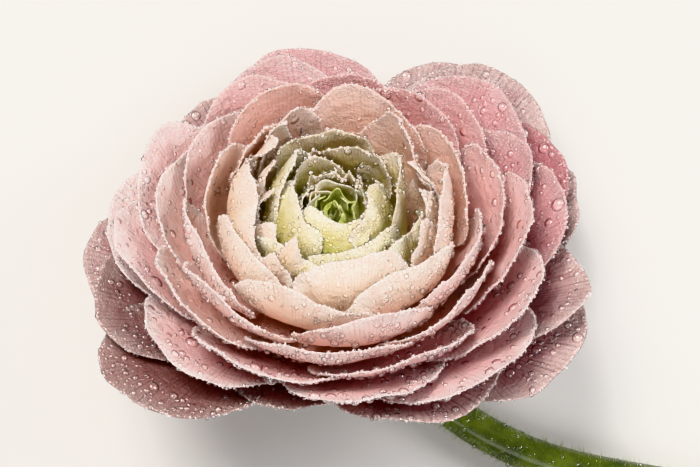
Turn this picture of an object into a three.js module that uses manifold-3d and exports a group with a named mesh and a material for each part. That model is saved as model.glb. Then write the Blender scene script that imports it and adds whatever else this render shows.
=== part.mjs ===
// A picked ranunculus flower, lying on a surface. Its cut stem lies along the surface and bends up
// under the bloom, and the bloom leans back until its rear petals touch the surface too.
// Lengths are in millimetres and angles in degrees, with +Z up and the surface at Z = 0.
//
// The bloom is laid out in a frame of its own: the origin is at the top of the stem, +Z points out
// of the bloom along its axis, and a petal's azimuth is measured from +X. The group "bloom" then
// leans that frame back and sets it on the stem.
import * as THREE from "three";
import { mergeVertices } from "three/addons/utils/BufferGeometryUtils.js";
import Module from "manifold-3d";

const wasm = await Module();
wasm.setup();

// Where the bloom sits, and how far its axis leans back from upright.
const SEAT = new THREE.Vector3(-28.2, -3.1, 8.6);
const LEAN = 35;

// Petals follow one another round the axis by the golden angle, from the outermost inwards.
const PETAL_COUNT = 72;
const GOLDEN_ANGLE = 137.508;
const FIRST_AZIMUTH = 46;

// Petals of one colour are joined at their roots into one piece. A step of ZONE_STEP petals parts
// each piece from the next, and ROOT_CLEARANCE parts them all from the receptacle.
const ZONE_STEP = 1.5;
const ROOT_CLEARANCE = 0.3;
const ZONES = [
  { name: "guard_petals", first: 0, roots: [0.7, 2.5], colour: 0xb98489, grid: [5, 4] },
  { name: "outer_petals", first: 13, roots: [3.4, 5.8], colour: 0xd98a97, grid: [5, 4] },
  { name: "middle_petals", first: 30, roots: [6.7, 8.7], colour: 0xe8b0a8, grid: [5, 4] },
  { name: "inner_petals", first: 45, roots: [9.6, 11.1], colour: 0xeed6c0, grid: [5, 4] },
  { name: "heart_petals", first: 57, roots: [12.1, 13.9], colour: 0xd8dca0, grid: [4, 4] },
];
const PETAL_ROUGHNESS = 0.55;

// The ring that a zone's petals stand on.
const RING_WALL = 1.3;
const RING_MARGIN = 0.2;
const RING_SIDES = 18;

// The receptacle is a cone on the top of the stem, which the petals stand round.
const RECEPTACLE_RADIUS = 4.4;
const RECEPTACLE_TAPER = 0.2;
const RECEPTACLE_HEIGHT = 14.6;
const RECEPTACLE_SIDES = 16;

// Shapes of petals from the outside (rank 0) to the heart (rank 1). A petal's midline leaves its
// root at the root slope and reaches its tip, at a distance from the axis and a height above the
// seat, at the tip slope. Slopes are measured up from the horizontal. The bulge is how far the
// midline swells between the two. Each line holds:
// rank, root slope, tip distance, tip height, tip slope, half width, bulge
const STATIONS = [
  [0.0, 12, 43.5, 14.0, 14, 15.0, 0.42],
  [0.08, 12, 43.0, 18.0, 28, 15.0, 0.42],
  [0.22, 12, 39.5, 22.5, 42, 14.5, 0.42],
  [0.38, 12, 33.0, 26.2, 66, 13.5, 0.42],
  [0.54, 12, 26.5, 28.8, 88, 12.5, 0.44],
  [0.68, 12, 19.5, 30.8, 108, 11.0, 0.5],
  [0.8, 13, 11.5, 31.0, 140, 10.0, 0.6],
  [0.9, 15, 6.0, 28.5, 156, 8.5, 0.62],
  [1.0, 22, 3.6, 25.0, 162, 5.5, 0.58],
];

// How far petals differ from the rule, either way: the swing round the axis, the twist, the share
// of the full length, the lift of the tip, the tip's slope and the share of the width. Towards the
// heart, from rank HEART_RANK, the tips differ more.
const SPREAD = { swing: 4, twist: 5, length: 0.03, lift: 0.2, slope: 2, heartSlope: 6, width: 0.08 };
const HEART_RANK = 0.7;

// Some of the outer petals don't keep to the rule. By petal number, each of them has a swing round
// the axis, a share of the full length and a lift of its tip of its own.
const OWN_WAYS = {
  0: { swing: 9, length: 1, lift: 3.0 },
  1: { swing: 0, length: 0.96, lift: 0.5 },
  2: { swing: 8, length: 1, lift: -1.0 },
  3: { swing: 2, length: 0.97, lift: 0.65 },
  4: { swing: -15, length: 0.95, lift: 1.2 },
  5: { swing: 6, length: 0.98, lift: 1.0 },
  6: { swing: 3, length: 0.82, lift: 0 },
  7: { swing: 13, length: 0.96, lift: 0.6 },
  8: { swing: -16, length: 1, lift: 0.2 },
  9: { swing: 2, length: 0.96, lift: 0.3 },
  10: { swing: 2, length: 0.97, lift: -0.4 },
  11: { swing: 1.5, length: 0.93, lift: -0.5 },
  12: { swing: -10, length: 0.88, lift: 0 },
  13: { swing: -5, length: 1, lift: 0 },
  14: { swing: 2, length: 0.93, lift: 0 },
  15: { swing: 4, length: 0.98, lift: 0 },
  16: { swing: 13, length: 1, lift: 0 },
  19: { swing: -6, length: 0.88, lift: 0 },
  21: { swing: -8, length: 1, lift: 0 },
  29: { swing: -3, length: 0.88, lift: 0 },
};

// The whole bloom opens a little more in front: its tips rise by REAR_RISE at the rear, and fall by
// as much in front.
const REAR_RISE = 2.6;

// A petal's rim is an arc of RIM_SWEEP either side of its midline, and the arc starts at SHOULDER
// of the petal's length. The rim waves in and out by RIM_WAVE of the length, and the blade is
// ruffled up and down by RUFFLE.
const BLADE_THICKNESS = 0.64;
const RIM_SWEEP = 110;
const SHOULDER = 0.66;
const RIM_WAVE = 0.02;
const RUFFLE = 0.4;

// A blade widens from its claw, at the root, and never wraps tighter than WRAP_SHARE of its half
// width, nor comes nearer to the axis than NEAREST.
const CLAW_HALF_WIDTH = 1.5;
const WRAP_SHARE = 0.62;
const NEAREST = 0.8;

// The eye: small curled petaloids round a low core, in the opening of the heart petals.
const EYE = { petaloids: 6, coreRadius: 1.7, coreTop: 18.4, coreSides: 10, grid: [2, 3] };
const EYE_COLOUR = 0x6f8a2c;
const EYE_ROUGHNESS = 0.5;
const PETALOID = {
  rootSlope: 64,
  tipRadius: 2.9,
  tipHeight: 21.5,
  tipSlope: 116,
  halfWidth: 0.95,
  bulge: 0.4,
  ruffle: 0.1,
};
const PETALOID_SPREAD = { swing: 4, twist: 10, tipRadius: 0.4, tipHeight: 1.6, tipSlope: 14 };

// Five sepals stand on a collar under the bloom. Those towards the surface are pressed up by it.
const SEPALS = [
  { azimuth: 249, tipHeight: -2.2 },
  { azimuth: 321, tipHeight: -1.4 },
  { azimuth: 33, tipHeight: 0.6 },
  { azimuth: 105, tipHeight: 1.2 },
  { azimuth: 177, tipHeight: 0.2 },
];
const SEPAL = {
  rootHeight: -1.3,
  rootSlope: -8,
  tipRadius: 15,
  tipSlope: 14,
  halfWidth: 4.0,
  bulge: 0.4,
  ruffle: 0.3,
};
const SEPAL_COLLAR = 0.5;
const SEPAL_GRID = [4, 3];
const SEPAL_COLOUR = 0x7d8a45;
const SEPAL_ROUGHNESS = 0.7;

// The stem's route from the seat: down along the bloom's axis, then along the surface.
const STEM_RADIUS = 3.0;
const STEM_SIDES = 10;
const STEM_STEPS = 36;
const BEND_REACH = 7.0;
const BEND_POINTS = 8;
const STEM_LANDING = new THREE.Vector3(14.6, -12.8, 3.16 - SEAT.z);
const STEM_LANDING_HEADING = -39;
const STEM_RUN = [
  [25.1, -20.2],
  [37.1, -25.2],
  [55.8, -28.9],
  [76.0, -31.4],
  [96.0, -35.6],
];
const STEM_COLOUR = 0x4f7a1f;
const STEM_ROUGHNESS = 0.6;

// The neck, where the stem swells into the receptacle: distances from the axis and heights.
const NECK = [
  [2.4, -5.0],
  [3.06, -4.0],
  [3.3, -2.6],
  [4.4, -2.0],
];

const radians = THREE.MathUtils.degToRad;

// A repeatable number from -1 to 1 for petal number index. Each use has a salt of its own.
function scatter(index, salt) {
  const value = Math.sin(index * 127.1 + salt * 311.7) * 43758.5453;
  return 2 * (value - Math.floor(value)) - 1;
}

// The values of STATIONS at any rank between two of them.
function stationAt(rank) {
  const above = Math.max(1, STATIONS.findIndex(([start]) => start >= rank));
  const [a, b] = [STATIONS[above - 1], STATIONS[above]];
  const share = (rank - a[0]) / (b[0] - a[0]);
  const values = a.map((value, column) => THREE.MathUtils.lerp(value, b[column], share));
  const [, rootSlope, tipRadius, tipHeight, tipSlope, halfWidth, bulge] = values;
  return { rootSlope, tipRadius, tipHeight, tipSlope, halfWidth, bulge };
}

function receptacleRadius(height) {
  return RECEPTACLE_RADIUS - RECEPTACLE_TAPER * height;
}

// The number of the petal after a zone's last.
function zoneEnd(zoneNumber) {
  return ZONES[zoneNumber + 1]?.first ?? PETAL_COUNT;
}

// Petal number index: its place, its midline and its width.
function petalShape(index, zoneNumber) {
  const zone = ZONES[zoneNumber];
  const lastRank = PETAL_COUNT - 1 + ZONE_STEP * (ZONES.length - 1);
  const rank = (index + ZONE_STEP * zoneNumber) / lastRank;
  const station = stationAt(rank);
  const own = OWN_WAYS[index] ?? {
    swing: SPREAD.swing * scatter(index, 1),
    length: 1 - SPREAD.length + SPREAD.length * scatter(index, 2),
    lift: SPREAD.lift * scatter(index, 3),
  };
  const share = (index - zone.first) / (zoneEnd(zoneNumber) - 1 - zone.first);
  const rootHeight = THREE.MathUtils.lerp(...zone.roots, share);
  const heart = Math.max(0, (rank - HEART_RANK) / (1 - HEART_RANK));
  return {
    index,
    rank,
    azimuth: FIRST_AZIMUTH + GOLDEN_ANGLE * index + own.swing,
    twist: SPREAD.twist * scatter(index, 10),
    length: own.length,
    rootRadius: receptacleRadius(rootHeight) + 2 * ROOT_CLEARANCE,
    rootHeight,
    rootSlope: station.rootSlope,
    tipRadius: station.tipRadius,
    tipHeight: station.tipHeight + own.lift,
    tipSlope: station.tipSlope + (SPREAD.slope + SPREAD.heartSlope * heart) * scatter(index, 4),
    rearRise: REAR_RISE,
    halfWidth: station.halfWidth * (1 + SPREAD.width * scatter(index, 5)),
    bulge: station.bulge,
    ruffle: RUFFLE,
  };
}

// The midline of a petal in the plane through the axis, with x as the distance from the axis.
function midline(shape) {
  const root = new THREE.Vector2(shape.rootRadius, shape.rootHeight);
  const tip = new THREE.Vector2(shape.tipRadius, shape.tipHeight);
  const reach = root.distanceTo(tip) * shape.bulge;
  const heading = (slope) => new THREE.Vector2(Math.cos(radians(slope)), Math.sin(radians(slope)));
  return new THREE.CubicBezierCurve(
    root,
    root.clone().addScaledVector(heading(shape.rootSlope), reach),
    tip.clone().addScaledVector(heading(shape.tipSlope), -reach),
    tip,
  );
}

// A point of a petal's middle surface: along runs from 0 at the root to 1 at the rim, and across
// from -1 to 1. The blade wraps round the bloom's axis, is cupped across and is ruffled at its rim.
function petalPoint(shape, curve, along, across) {
  const { index, halfWidth } = shape;
  const sweep = radians(RIM_SWEEP);
  const arc = (Math.cos(sweep * across) - Math.cos(sweep)) / (1 - Math.cos(sweep));
  const wave = RIM_WAVE * Math.sin(5 * across + 6 * scatter(index, 6));
  const part = along * shape.length * (SHOULDER + (1 - SHOULDER) * arc + wave);
  const claw = Math.min(CLAW_HALF_WIDTH, 0.5 * halfWidth);
  const side = claw + (halfWidth * Math.sin(sweep) - claw) * along ** 1.25;
  const rounded = Math.sin(sweep * across) / Math.sin(sweep);
  const aside = side * THREE.MathUtils.lerp(across, rounded, along ** 2);
  const centre = curve.getPoint(Math.min(part, 1));
  const tangent = curve.getTangent(Math.min(part, 1));
  const cup = (1 - 0.6 * shape.rank) * (aside / halfWidth) ** 2 * along ** 3;
  const ruffle = shape.ruffle * along ** 4 * Math.sin(6 * across + 5 * scatter(index, 8));
  const radius = Math.max(centre.x - tangent.y * (cup + ruffle), NEAREST);
  const wrap = aside / Math.max(radius, WRAP_SHARE * halfWidth);
  const turn = radians(shape.azimuth + shape.twist * along) + wrap;
  const rise = shape.rearRise * part ** 2 * Math.sin(turn);
  const height = centre.y + tangent.x * (cup + ruffle) + rise;
  return new THREE.Vector3(radius * Math.cos(turn), radius * Math.sin(turn), height);
}

// A petal as a closed blade. Both faces have the same grid and the same diagonals.
function blade(shape, [across, along]) {
  const curve = midline(shape);
  const surface = (u, v) => petalPoint(shape, curve, u, v);
  const step = 0.01;
  const points = [];
  for (const side of [0.5, -0.5]) {
    for (let row = 0; row <= along; row++) {
      for (let column = 0; column <= across; column++) {
        const u = row / along;
        const v = (2 * column) / across - 1;
        const forward = surface(Math.min(u + step, 1), v).sub(surface(Math.max(u - step, 0), v));
        const sideways = surface(u, Math.min(v + step, 1)).sub(surface(u, Math.max(v - step, -1)));
        const normal = forward.cross(sideways).normalize();
        points.push(surface(u, v).addScaledVector(normal, side * BLADE_THICKNESS));
      }
    }
  }
  const lower = (along + 1) * (across + 1);
  const at = (row, column) => row * (across + 1) + column;
  const triangles = [];
  for (let row = 0; row < along; row++) {
    for (let column = 0; column < across; column++) {
      const [a, b] = [at(row, column), at(row + 1, column)];
      const [c, d] = [at(row + 1, column + 1), at(row, column + 1)];
      const halves = column < across / 2 ? [a, b, d, b, c, d] : [a, b, c, a, c, d];
      triangles.push(...halves, ...halves.map((corner) => corner + lower).reverse());
    }
  }
  for (let row = 0; row < along; row++) {
    triangles.push(...edgeWall(at(row, 0), at(row + 1, 0), lower));
    triangles.push(...edgeWall(at(row + 1, across), at(row, across), lower));
  }
  for (let column = 0; column < across; column++) {
    triangles.push(...edgeWall(at(along, column), at(along, column + 1), lower));
    triangles.push(...edgeWall(at(0, column + 1), at(0, column), lower));
  }
  return toSolid(new THREE.BufferGeometry().setFromPoints(points).setIndex(triangles));
}

// Two triangles that join the edge from corner to next to the same edge of the other face.
function edgeWall(corner, next, lower) {
  return [next, corner, corner + lower, next, corner + lower, next + lower];
}

// A closed geometry as a solid that can be joined to others.
function toSolid(geometry) {
  geometry.deleteAttribute("normal");
  geometry.deleteAttribute("uv");
  const merged = mergeVertices(geometry, 1e-4);
  return new wasm.Manifold(
    new wasm.Mesh({
      numProp: 3,
      vertProperties: merged.attributes.position.array,
      triVerts: new Uint32Array(merged.index.array),
    }),
  );
}

// Solids joined into one body, without slivers. A pocket that they seal between them is filled.
function joined(solids) {
  const whole = solids.reduce((sum, next) => sum.add(next)).simplify(0.01);
  return whole.decompose().sort((a, b) => b.volume() - a.volume())[0];
}

function toMesh(name, solid, colour, roughness) {
  const { vertProperties, triVerts } = solid.getMesh();
  const geometry = new THREE.BufferGeometry();
  geometry.setAttribute("position", new THREE.BufferAttribute(vertProperties, 3));
  geometry.setIndex(new THREE.BufferAttribute(triVerts, 1));
  geometry.computeVertexNormals();
  const material = new THREE.MeshStandardMaterial({ color: colour, roughness, metalness: 0 });
  const mesh = new THREE.Mesh(geometry, material);
  mesh.name = name;
  return mesh;
}

// A profile of [distance from the axis, height] pairs turned about +Z.
function lathe(profile, sides) {
  const points = profile.map(([radius, height]) => new THREE.Vector2(radius, height));
  return new THREE.LatheGeometry(points, sides).rotateX(Math.PI / 2);
}

// A ring round the receptacle between two heights, clear of it, that petals or sepals stand on.
function rootRing(low, high) {
  const lowRadius = receptacleRadius(low) + ROOT_CLEARANCE;
  const highRadius = receptacleRadius(high) + ROOT_CLEARANCE;
  const profile = [
    [lowRadius, low],
    [lowRadius + RING_WALL, low],
    [highRadius + RING_WALL, high],
    [highRadius, high],
    [lowRadius, low],
  ];
  return toSolid(lathe(profile, RING_SIDES));
}

function petalZone(zoneNumber) {
  const zone = ZONES[zoneNumber];
  const solids = [rootRing(zone.roots[0] - RING_MARGIN, zone.roots[1] + RING_MARGIN)];
  for (let index = zone.first; index < zoneEnd(zoneNumber); index++) {
    solids.push(blade(petalShape(index, zoneNumber), zone.grid));
  }
  return toMesh(zone.name, joined(solids), zone.colour, PETAL_ROUGHNESS);
}

function eye() {
  const { petaloids, coreRadius, coreTop, coreSides, grid } = EYE;
  const base = RECEPTACLE_HEIGHT + ROOT_CLEARANCE;
  const profile = [
    [0, base],
    [coreRadius * 0.8, base],
    [coreRadius, base + 3],
    [coreRadius * 0.7, coreTop - 1],
    [0, coreTop],
  ];
  const solids = [toSolid(lathe(profile, coreSides))];
  for (let number = 0; number < petaloids; number++) {
    const shape = {
      ...PETALOID,
      index: PETAL_COUNT + number,
      rank: 1,
      azimuth: (360 / petaloids) * number + PETALOID_SPREAD.swing * scatter(number, 20),
      twist: PETALOID_SPREAD.twist * scatter(number, 21),
      length: 1,
      rootRadius: coreRadius * 0.8,
      rootHeight: base + 1.2,
      tipRadius: PETALOID.tipRadius + PETALOID_SPREAD.tipRadius * scatter(number, 22),
      tipHeight: PETALOID.tipHeight + PETALOID_SPREAD.tipHeight * scatter(number, 23),
      tipSlope: PETALOID.tipSlope + PETALOID_SPREAD.tipSlope * scatter(number, 24),
      rearRise: 0,
    };
    solids.push(blade(shape, grid));
  }
  return toMesh("eye", joined(solids), EYE_COLOUR, EYE_ROUGHNESS);
}

function sepals() {
  const solids = [rootRing(SEPAL.rootHeight - SEPAL_COLLAR, SEPAL.rootHeight + SEPAL_COLLAR)];
  SEPALS.forEach((sepal, number) => {
    const shape = {
      ...SEPAL,
      ...sepal,
      index: PETAL_COUNT + EYE.petaloids + number,
      rank: 1,
      twist: 0,
      length: 1,
      rootRadius: receptacleRadius(SEPAL.rootHeight) + 2 * ROOT_CLEARANCE,
      rearRise: 0,
    };
    solids.push(blade(shape, SEPAL_GRID));
  });
  return toMesh("sepals", joined(solids), SEPAL_COLOUR, SEPAL_ROUGHNESS);
}

// The stem's outline across: a regular polygon whose flats are STEM_RADIUS from its centre.
function stemSection() {
  const radius = STEM_RADIUS / Math.cos(Math.PI / STEM_SIDES);
  const corners = [];
  for (let side = 0; side < STEM_SIDES; side++) {
    const turn = ((side + 0.5) * 2 * Math.PI) / STEM_SIDES;
    corners.push(new THREE.Vector2(radius * Math.cos(turn), radius * Math.sin(turn)));
  }
  return new THREE.Shape(corners);
}

// The stem with the receptacle at its top, in the part's own frame.
function stem(bloomMatrix) {
  const axis = new THREE.Vector3(0, 0, 1).transformDirection(bloomMatrix);
  const heading = radians(STEM_LANDING_HEADING);
  const along = new THREE.Vector3(Math.cos(heading), Math.sin(heading), 0);
  const top = new THREE.Vector3();
  const bend = new THREE.CubicBezierCurve3(
    top,
    top.clone().addScaledVector(axis, -BEND_REACH),
    STEM_LANDING.clone().addScaledVector(along, -BEND_REACH),
    STEM_LANDING,
  );
  const run = STEM_RUN.map(([x, y]) => new THREE.Vector3(x, y, STEM_LANDING.z));
  const points = [...bend.getPoints(BEND_POINTS), ...run];
  const route = new THREE.CatmullRomCurve3(points, false, "centripetal");
  const tube = new THREE.ExtrudeGeometry(stemSection(), { steps: STEM_STEPS, extrudePath: route });
  tube.translate(SEAT.x, SEAT.y, SEAT.z);
  const receptacle = lathe(
    [
      [0, NECK[0][1]],
      ...NECK,
      [receptacleRadius(0), 0],
      [receptacleRadius(RECEPTACLE_HEIGHT), RECEPTACLE_HEIGHT],
      [0, RECEPTACLE_HEIGHT],
    ],
    RECEPTACLE_SIDES,
  );
  receptacle.applyMatrix4(bloomMatrix);
  const solid = joined([toSolid(receptacle), toSolid(tube)]);
  return toMesh("stem", solid, STEM_COLOUR, STEM_ROUGHNESS);
}

const bloom = new THREE.Group();
bloom.position.copy(SEAT);
bloom.rotation.x = -radians(LEAN);
bloom.updateMatrix();
ZONES.forEach((zone, zoneNumber) => bloom.add(petalZone(zoneNumber)));
bloom.add(eye(), sepals());

const group = new THREE.Group();
group.add(bloom, stem(bloom.matrix));

export default group;
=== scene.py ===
"""A picked ranunculus flower, wet with dew, lying on a pale floor.

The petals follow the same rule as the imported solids, with finer blades, rims and veins. Lengths in
the rule are millimetres in the bloom's own frame, whose +Z runs out along the axis of the bloom.
"""
import logging
import math
from dataclasses import dataclass, field
from enum import Enum
from random import Random
from typing import Any, Callable

import bmesh
import bpy
from mathutils import Matrix, Vector
from mathutils.bvhtree import BVHTree
from mathutils.noise import noise


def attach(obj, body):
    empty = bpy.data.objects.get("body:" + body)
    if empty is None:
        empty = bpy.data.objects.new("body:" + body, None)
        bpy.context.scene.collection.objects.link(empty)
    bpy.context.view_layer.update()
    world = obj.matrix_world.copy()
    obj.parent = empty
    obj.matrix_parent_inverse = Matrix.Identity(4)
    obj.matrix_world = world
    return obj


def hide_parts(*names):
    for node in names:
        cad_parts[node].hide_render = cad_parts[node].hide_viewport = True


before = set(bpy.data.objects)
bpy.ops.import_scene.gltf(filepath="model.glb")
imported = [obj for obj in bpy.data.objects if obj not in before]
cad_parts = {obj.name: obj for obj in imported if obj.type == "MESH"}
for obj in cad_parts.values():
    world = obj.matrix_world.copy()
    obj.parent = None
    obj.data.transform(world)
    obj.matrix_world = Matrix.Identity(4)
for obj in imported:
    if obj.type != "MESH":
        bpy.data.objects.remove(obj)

MM = 0.001
LOG = logging.getLogger("ranunculus")


class Zone(Enum):
    """The petals of one colour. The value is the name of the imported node."""

    GUARD = "guard_petals"
    OUTER = "outer_petals"
    MIDDLE = "middle_petals"
    INNER = "inner_petals"
    HEART = "heart_petals"


class Face(Enum):
    """The two faces of a blade, with the sign of the blade's normal there."""

    INSIDE = 1.0
    OUTSIDE = -1.0


def linear(colour: int) -> tuple[float, float, float, float]:
    """Turns an sRGB hex value to a linear colour.

    Args:
        colour: The colour as 0xRRGGBB.

    Returns:
        Red, green, blue and an alpha of one.
    """
    parts = [(colour >> shift & 0xFF) / 255 for shift in (16, 8, 0)]
    red, green, blue = (
        part / 12.92 if part <= 0.04045 else ((part + 0.055) / 1.055) ** 2.4 for part in parts
    )
    return red, green, blue, 1.0


def lerp(low: float, high: float, share: float) -> float:
    """Goes from low to high as share goes from 0 to 1."""
    return low + share * (high - low)


def scatter(index: int, salt: int) -> float:
    """Gives a repeatable number from -1 to 1 for petal number index and one use of it."""
    value = math.sin(index * 127.1 + salt * 311.7) * 43758.5453
    return 2 * (value - math.floor(value)) - 1


def add_node(
    tree: bpy.types.NodeTree,
    kind: str,
    settings: dict[str | int, Any] | None = None,
    links: dict[str | int, bpy.types.NodeSocket] | None = None,
) -> bpy.types.Node:
    """Adds a node with its settings and links.

    Args:
        tree: The node tree of a material.
        kind: The node's type, such as ShaderNodeTexNoise.
        settings: Values for the node's own properties or, by name or number, its input sockets.
        links: Output sockets to join to input sockets, by name or number.

    Returns:
        The new node.
    """
    node = tree.nodes.new(kind)
    for key, value in (settings or {}).items():
        if isinstance(key, str) and hasattr(node, key):
            setattr(node, key, value)
        else:
            node.inputs[key].default_value = value
    for key, source in (links or {}).items():
        tree.links.new(source, node.inputs[key])
    return node


def new_material(name: str) -> tuple[bpy.types.Material, bpy.types.NodeTree]:
    """Makes an empty node material.

    Args:
        name: The material's name.

    Returns:
        The material and its node tree, with no nodes in it.
    """
    material = bpy.data.materials.new(name)
    material.use_nodes = True
    material.node_tree.nodes.clear()
    return material, material.node_tree


def finish_piece(
    name: str,
    shape: bmesh.types.BMesh,
    material: bpy.types.Material,
    replaced: str | None = None,
) -> bpy.types.Object:
    """Turns a shape into a piece of the flower that rides on its one body.

    Args:
        name: The piece's name.
        shape: The shape in metres, in the part's frame. It is freed.
        material: The piece's finish.
        replaced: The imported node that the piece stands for, if any.

    Returns:
        The new object.
    """
    mesh = bpy.data.meshes.new(name)
    shape.to_mesh(mesh)
    shape.free()
    mesh.shade_smooth()
    mesh.materials.append(material)
    piece = bpy.data.objects.new(name, mesh)
    bpy.context.scene.collection.objects.link(piece)
    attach(piece, "root")
    if replaced:
        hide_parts(replaced)
    return piece


def thicken(piece: bpy.types.Object, thickness: float) -> None:
    """Gives a blade its thickness, even on both sides, and rounds it.

    Args:
        piece: The blade's object.
        thickness: The thickness in millimetres.
    """
    wall = piece.modifiers.new("blade", "SOLIDIFY")
    wall.thickness = thickness * MM
    wall.offset = 0.0
    wall.use_even_offset = False
    round_off = piece.modifiers.new("round", "SUBSURF")
    round_off.levels = round_off.render_levels = 1


@dataclass(frozen=True)
class Placement:
    """Where the bloom sits on the stem and how far it leans back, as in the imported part."""

    seat: tuple[float, float, float] = (-28.2, -3.1, 8.6)
    lean: float = 35.0

    @property
    def matrix(self) -> Matrix:
        """The matrix from the bloom's frame in millimetres to the part's frame in metres."""
        turn = Matrix.Rotation(math.radians(-self.lean), 4, "X")
        return Matrix.Scale(MM, 4) @ Matrix.Translation(self.seat) @ turn


@dataclass(frozen=True)
class Blade:
    """One blade: a petal, petaloid or sepal, from its claw to its rim.

    Lengths are millimetres and angles degrees. A root or a tip is a distance from the axis of the
    bloom and a height.
    """

    index: int
    # From 0 for the outermost petal to 1 at the heart.
    rank: float
    azimuth: float
    root: tuple[float, float]
    tip: tuple[float, float]
    # How steeply the midline rises at its root and at its tip.
    slopes: tuple[float, float]
    half_width: float
    # How far the midline keeps to those slopes, as a share of the way from root to tip.
    bulge: float
    # The height of the slow waves near the rim.
    ruffle: float = 0.4
    # A share of the length between root and tip.
    length: float = 1.0
    # How far the rim is turned round the axis from the claw.
    twist: float = 0.0
    # How much higher the rim stands at the back of the bloom than at its sides.
    rear_rise: float = 0.0
    # The depth of the rim's tears as a share of the length, and how pointed they are, from 0 to 1.
    ragged: float = 0.0
    pointed: float = 0.0
    # The heights of the folds and of the pleats.
    crumple: float = 0.0
    pleat: float = 0.09
    # From 0 for a round outline to 1 for one that narrows to its tip.
    tapered: float = 0.0
    # The shares of the zone's painted shade and of sap green.
    depth: float = 0.0
    green: float = 0.0

    # The arc that the outline of the rim follows, to each side.
    RIM_SWEEP = math.radians(110)
    # The depth of the rim's slow wave, as a share of the length.
    RIM_WAVE = 0.02
    # How often the soft and the pointed tongues of the rim, its nicks and its grit come in half
    # the width, and what share of the raggedness the tongues, the nicks and the grit have.
    TONGUES = (3.4, 3.1)
    NICKS = 9.0
    GRIT = 24.0
    TEARS = (0.7, 0.42, 0.16)
    # The share of the length at the blade's sides, and what a tapered blade loses of it.
    SHOULDER = 0.66
    SHOULDER_LOSS = 0.16
    # Half the width of the claw at the root.
    CLAW = 1.5
    # A blade wraps round the axis no tighter than this share of half its width.
    WRAP_SHARE = 0.62
    # No point comes nearer to the axis, or lower over the floor.
    NEAREST = 0.8
    LOWEST = 0.2
    # How far a rim goes that stands out by a share of one past the tip.
    OVERRUN = 30
    # What a blade at the heart loses of the cup across it, which is 1 mm deep on a guard petal.
    CUP_LOSS = 0.6
    PLEAT_SPACING = 2.1
    # The height of the frill for each tenth of raggedness.
    FRILL = 1.6
    # How often the folds, and the bends of the pleats, come in a millimetre across and in the
    # whole length.
    FOLDS = (0.16, 5.0)
    BENDS = (0.3, 3.0)

    def _midline(self, share: float) -> tuple[float, float, float, float]:
        """Finds a point of the midline and the unit tangent there.

        Args:
            share: How far along the midline, from 0 to 1.

        Returns:
            The distance from the axis, the height and the two parts of the tangent.
        """
        (r0, z0), (r3, z3) = self.root, self.tip
        reach = math.hypot(r3 - r0, z3 - z0) * self.bulge
        low, high = (math.radians(slope) for slope in self.slopes)
        r1, z1 = r0 + reach * math.cos(low), z0 + reach * math.sin(low)
        r2, z2 = r3 - reach * math.cos(high), z3 - reach * math.sin(high)
        rest = 1 - share
        ways = (rest**3, 3 * share * rest**2, 3 * share**2 * rest, share**3)
        rates = (
            -3 * rest**2,
            3 * rest**2 - 6 * share * rest,
            6 * share * rest - 3 * share**2,
            3 * share**2,
        )
        lines = ((r0, r1, r2, r3), (z0, z1, z2, z3))
        r, z = (sum(a * b for a, b in zip(ways, line)) for line in lines)
        dr, dz = (sum(a * b for a, b in zip(rates, line)) for line in lines)
        size = math.hypot(dr, dz) or 1.0
        return r, z, dr / size, dz / size

    def _rim_wave(self, across: float) -> float:
        """Gives how far the rim stands out, as a share of the length.

        It is a slow wave with tears in it: tongues, nicks and grit, each finer than the last.

        Args:
            across: From -1 to 1.

        Returns:
            The share, below 0 where the rim is torn in.
        """
        wave = self.RIM_WAVE * math.sin(5 * across + 6 * scatter(self.index, 6))
        # The index gives every blade a part of the noise of its own, here and in point.
        place = Vector((self.index * 7.3, 0.0, 0.0))
        soft = noise(place + Vector((0, across * self.TONGUES[0], 1.7)))
        sharp = 0.45 - 2.2 * abs(noise(place + Vector((0, across * self.TONGUES[1], 8.2))))
        tongues = lerp(soft, sharp, self.pointed)
        nicks = noise(place + Vector((0, across * self.NICKS, 5.1)))
        grit = noise(place + Vector((0, across * self.GRIT, 9.4)))
        broad, middling, fine = self.TEARS
        return wave + self.ragged * (broad * tongues + middling * nicks + fine * grit)

    def point(self, along: float, across: float) -> Vector:
        """Finds a point of the blade's middle surface.

        Args:
            along: From 0 at the root to 1 at the rim.
            across: From -1 to 1.

        Returns:
            The point in the bloom's frame, in millimetres.
        """
        # The outline: how far along the midline and how far to the side of it.
        sweep = self.RIM_SWEEP
        arc = (math.cos(sweep * across) - math.cos(sweep)) / (1 - math.cos(sweep))
        arc = lerp(arc, (1 - abs(across)) ** 1.4, self.tapered)
        shoulder = self.SHOULDER - self.SHOULDER_LOSS * self.tapered
        part = along * (self.length * (shoulder + (1 - shoulder) * arc) + self._rim_wave(across))
        claw = min(self.CLAW, 0.5 * self.half_width)
        side = claw + (self.half_width * math.sin(sweep) - claw) * along**1.25
        rounded = math.sin(sweep * across) / math.sin(sweep)
        aside = side * lerp(across, rounded, along**2)
        inside = min(part, 1.0)
        r, z, tr, tz = self._midline(inside)
        r += tr * (part - inside) * self.OVERRUN
        z += tz * (part - inside) * self.OVERRUN

        # The relief: how far off the midline's surface, growing towards the rim.
        cup = (1 - self.CUP_LOSS * self.rank) * (aside / self.half_width) ** 2 * along**3
        wave = self.ruffle * along**4 * math.sin(6 * across + 5 * scatter(self.index, 8))
        grain = Vector((aside * self.FOLDS[0], part * self.FOLDS[1], self.index * 3.1))
        fold = self.crumple * along**2 * (noise(grain) + 0.5 * noise(grain * 2.3))
        fringe = noise(Vector((across * 5.5, self.index * 1.9, 3.3)))
        frill = self.FRILL * self.ragged * 10 * along**6 * fringe
        bends = Vector((aside * self.BENDS[0], part * self.BENDS[1], self.index * 5.3))
        bend = 4 * noise(bends)
        pleat = self.pleat * along**2 * math.sin(aside * math.tau / self.PLEAT_SPACING + bend)
        off = cup + wave + fold + frill + pleat

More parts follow.
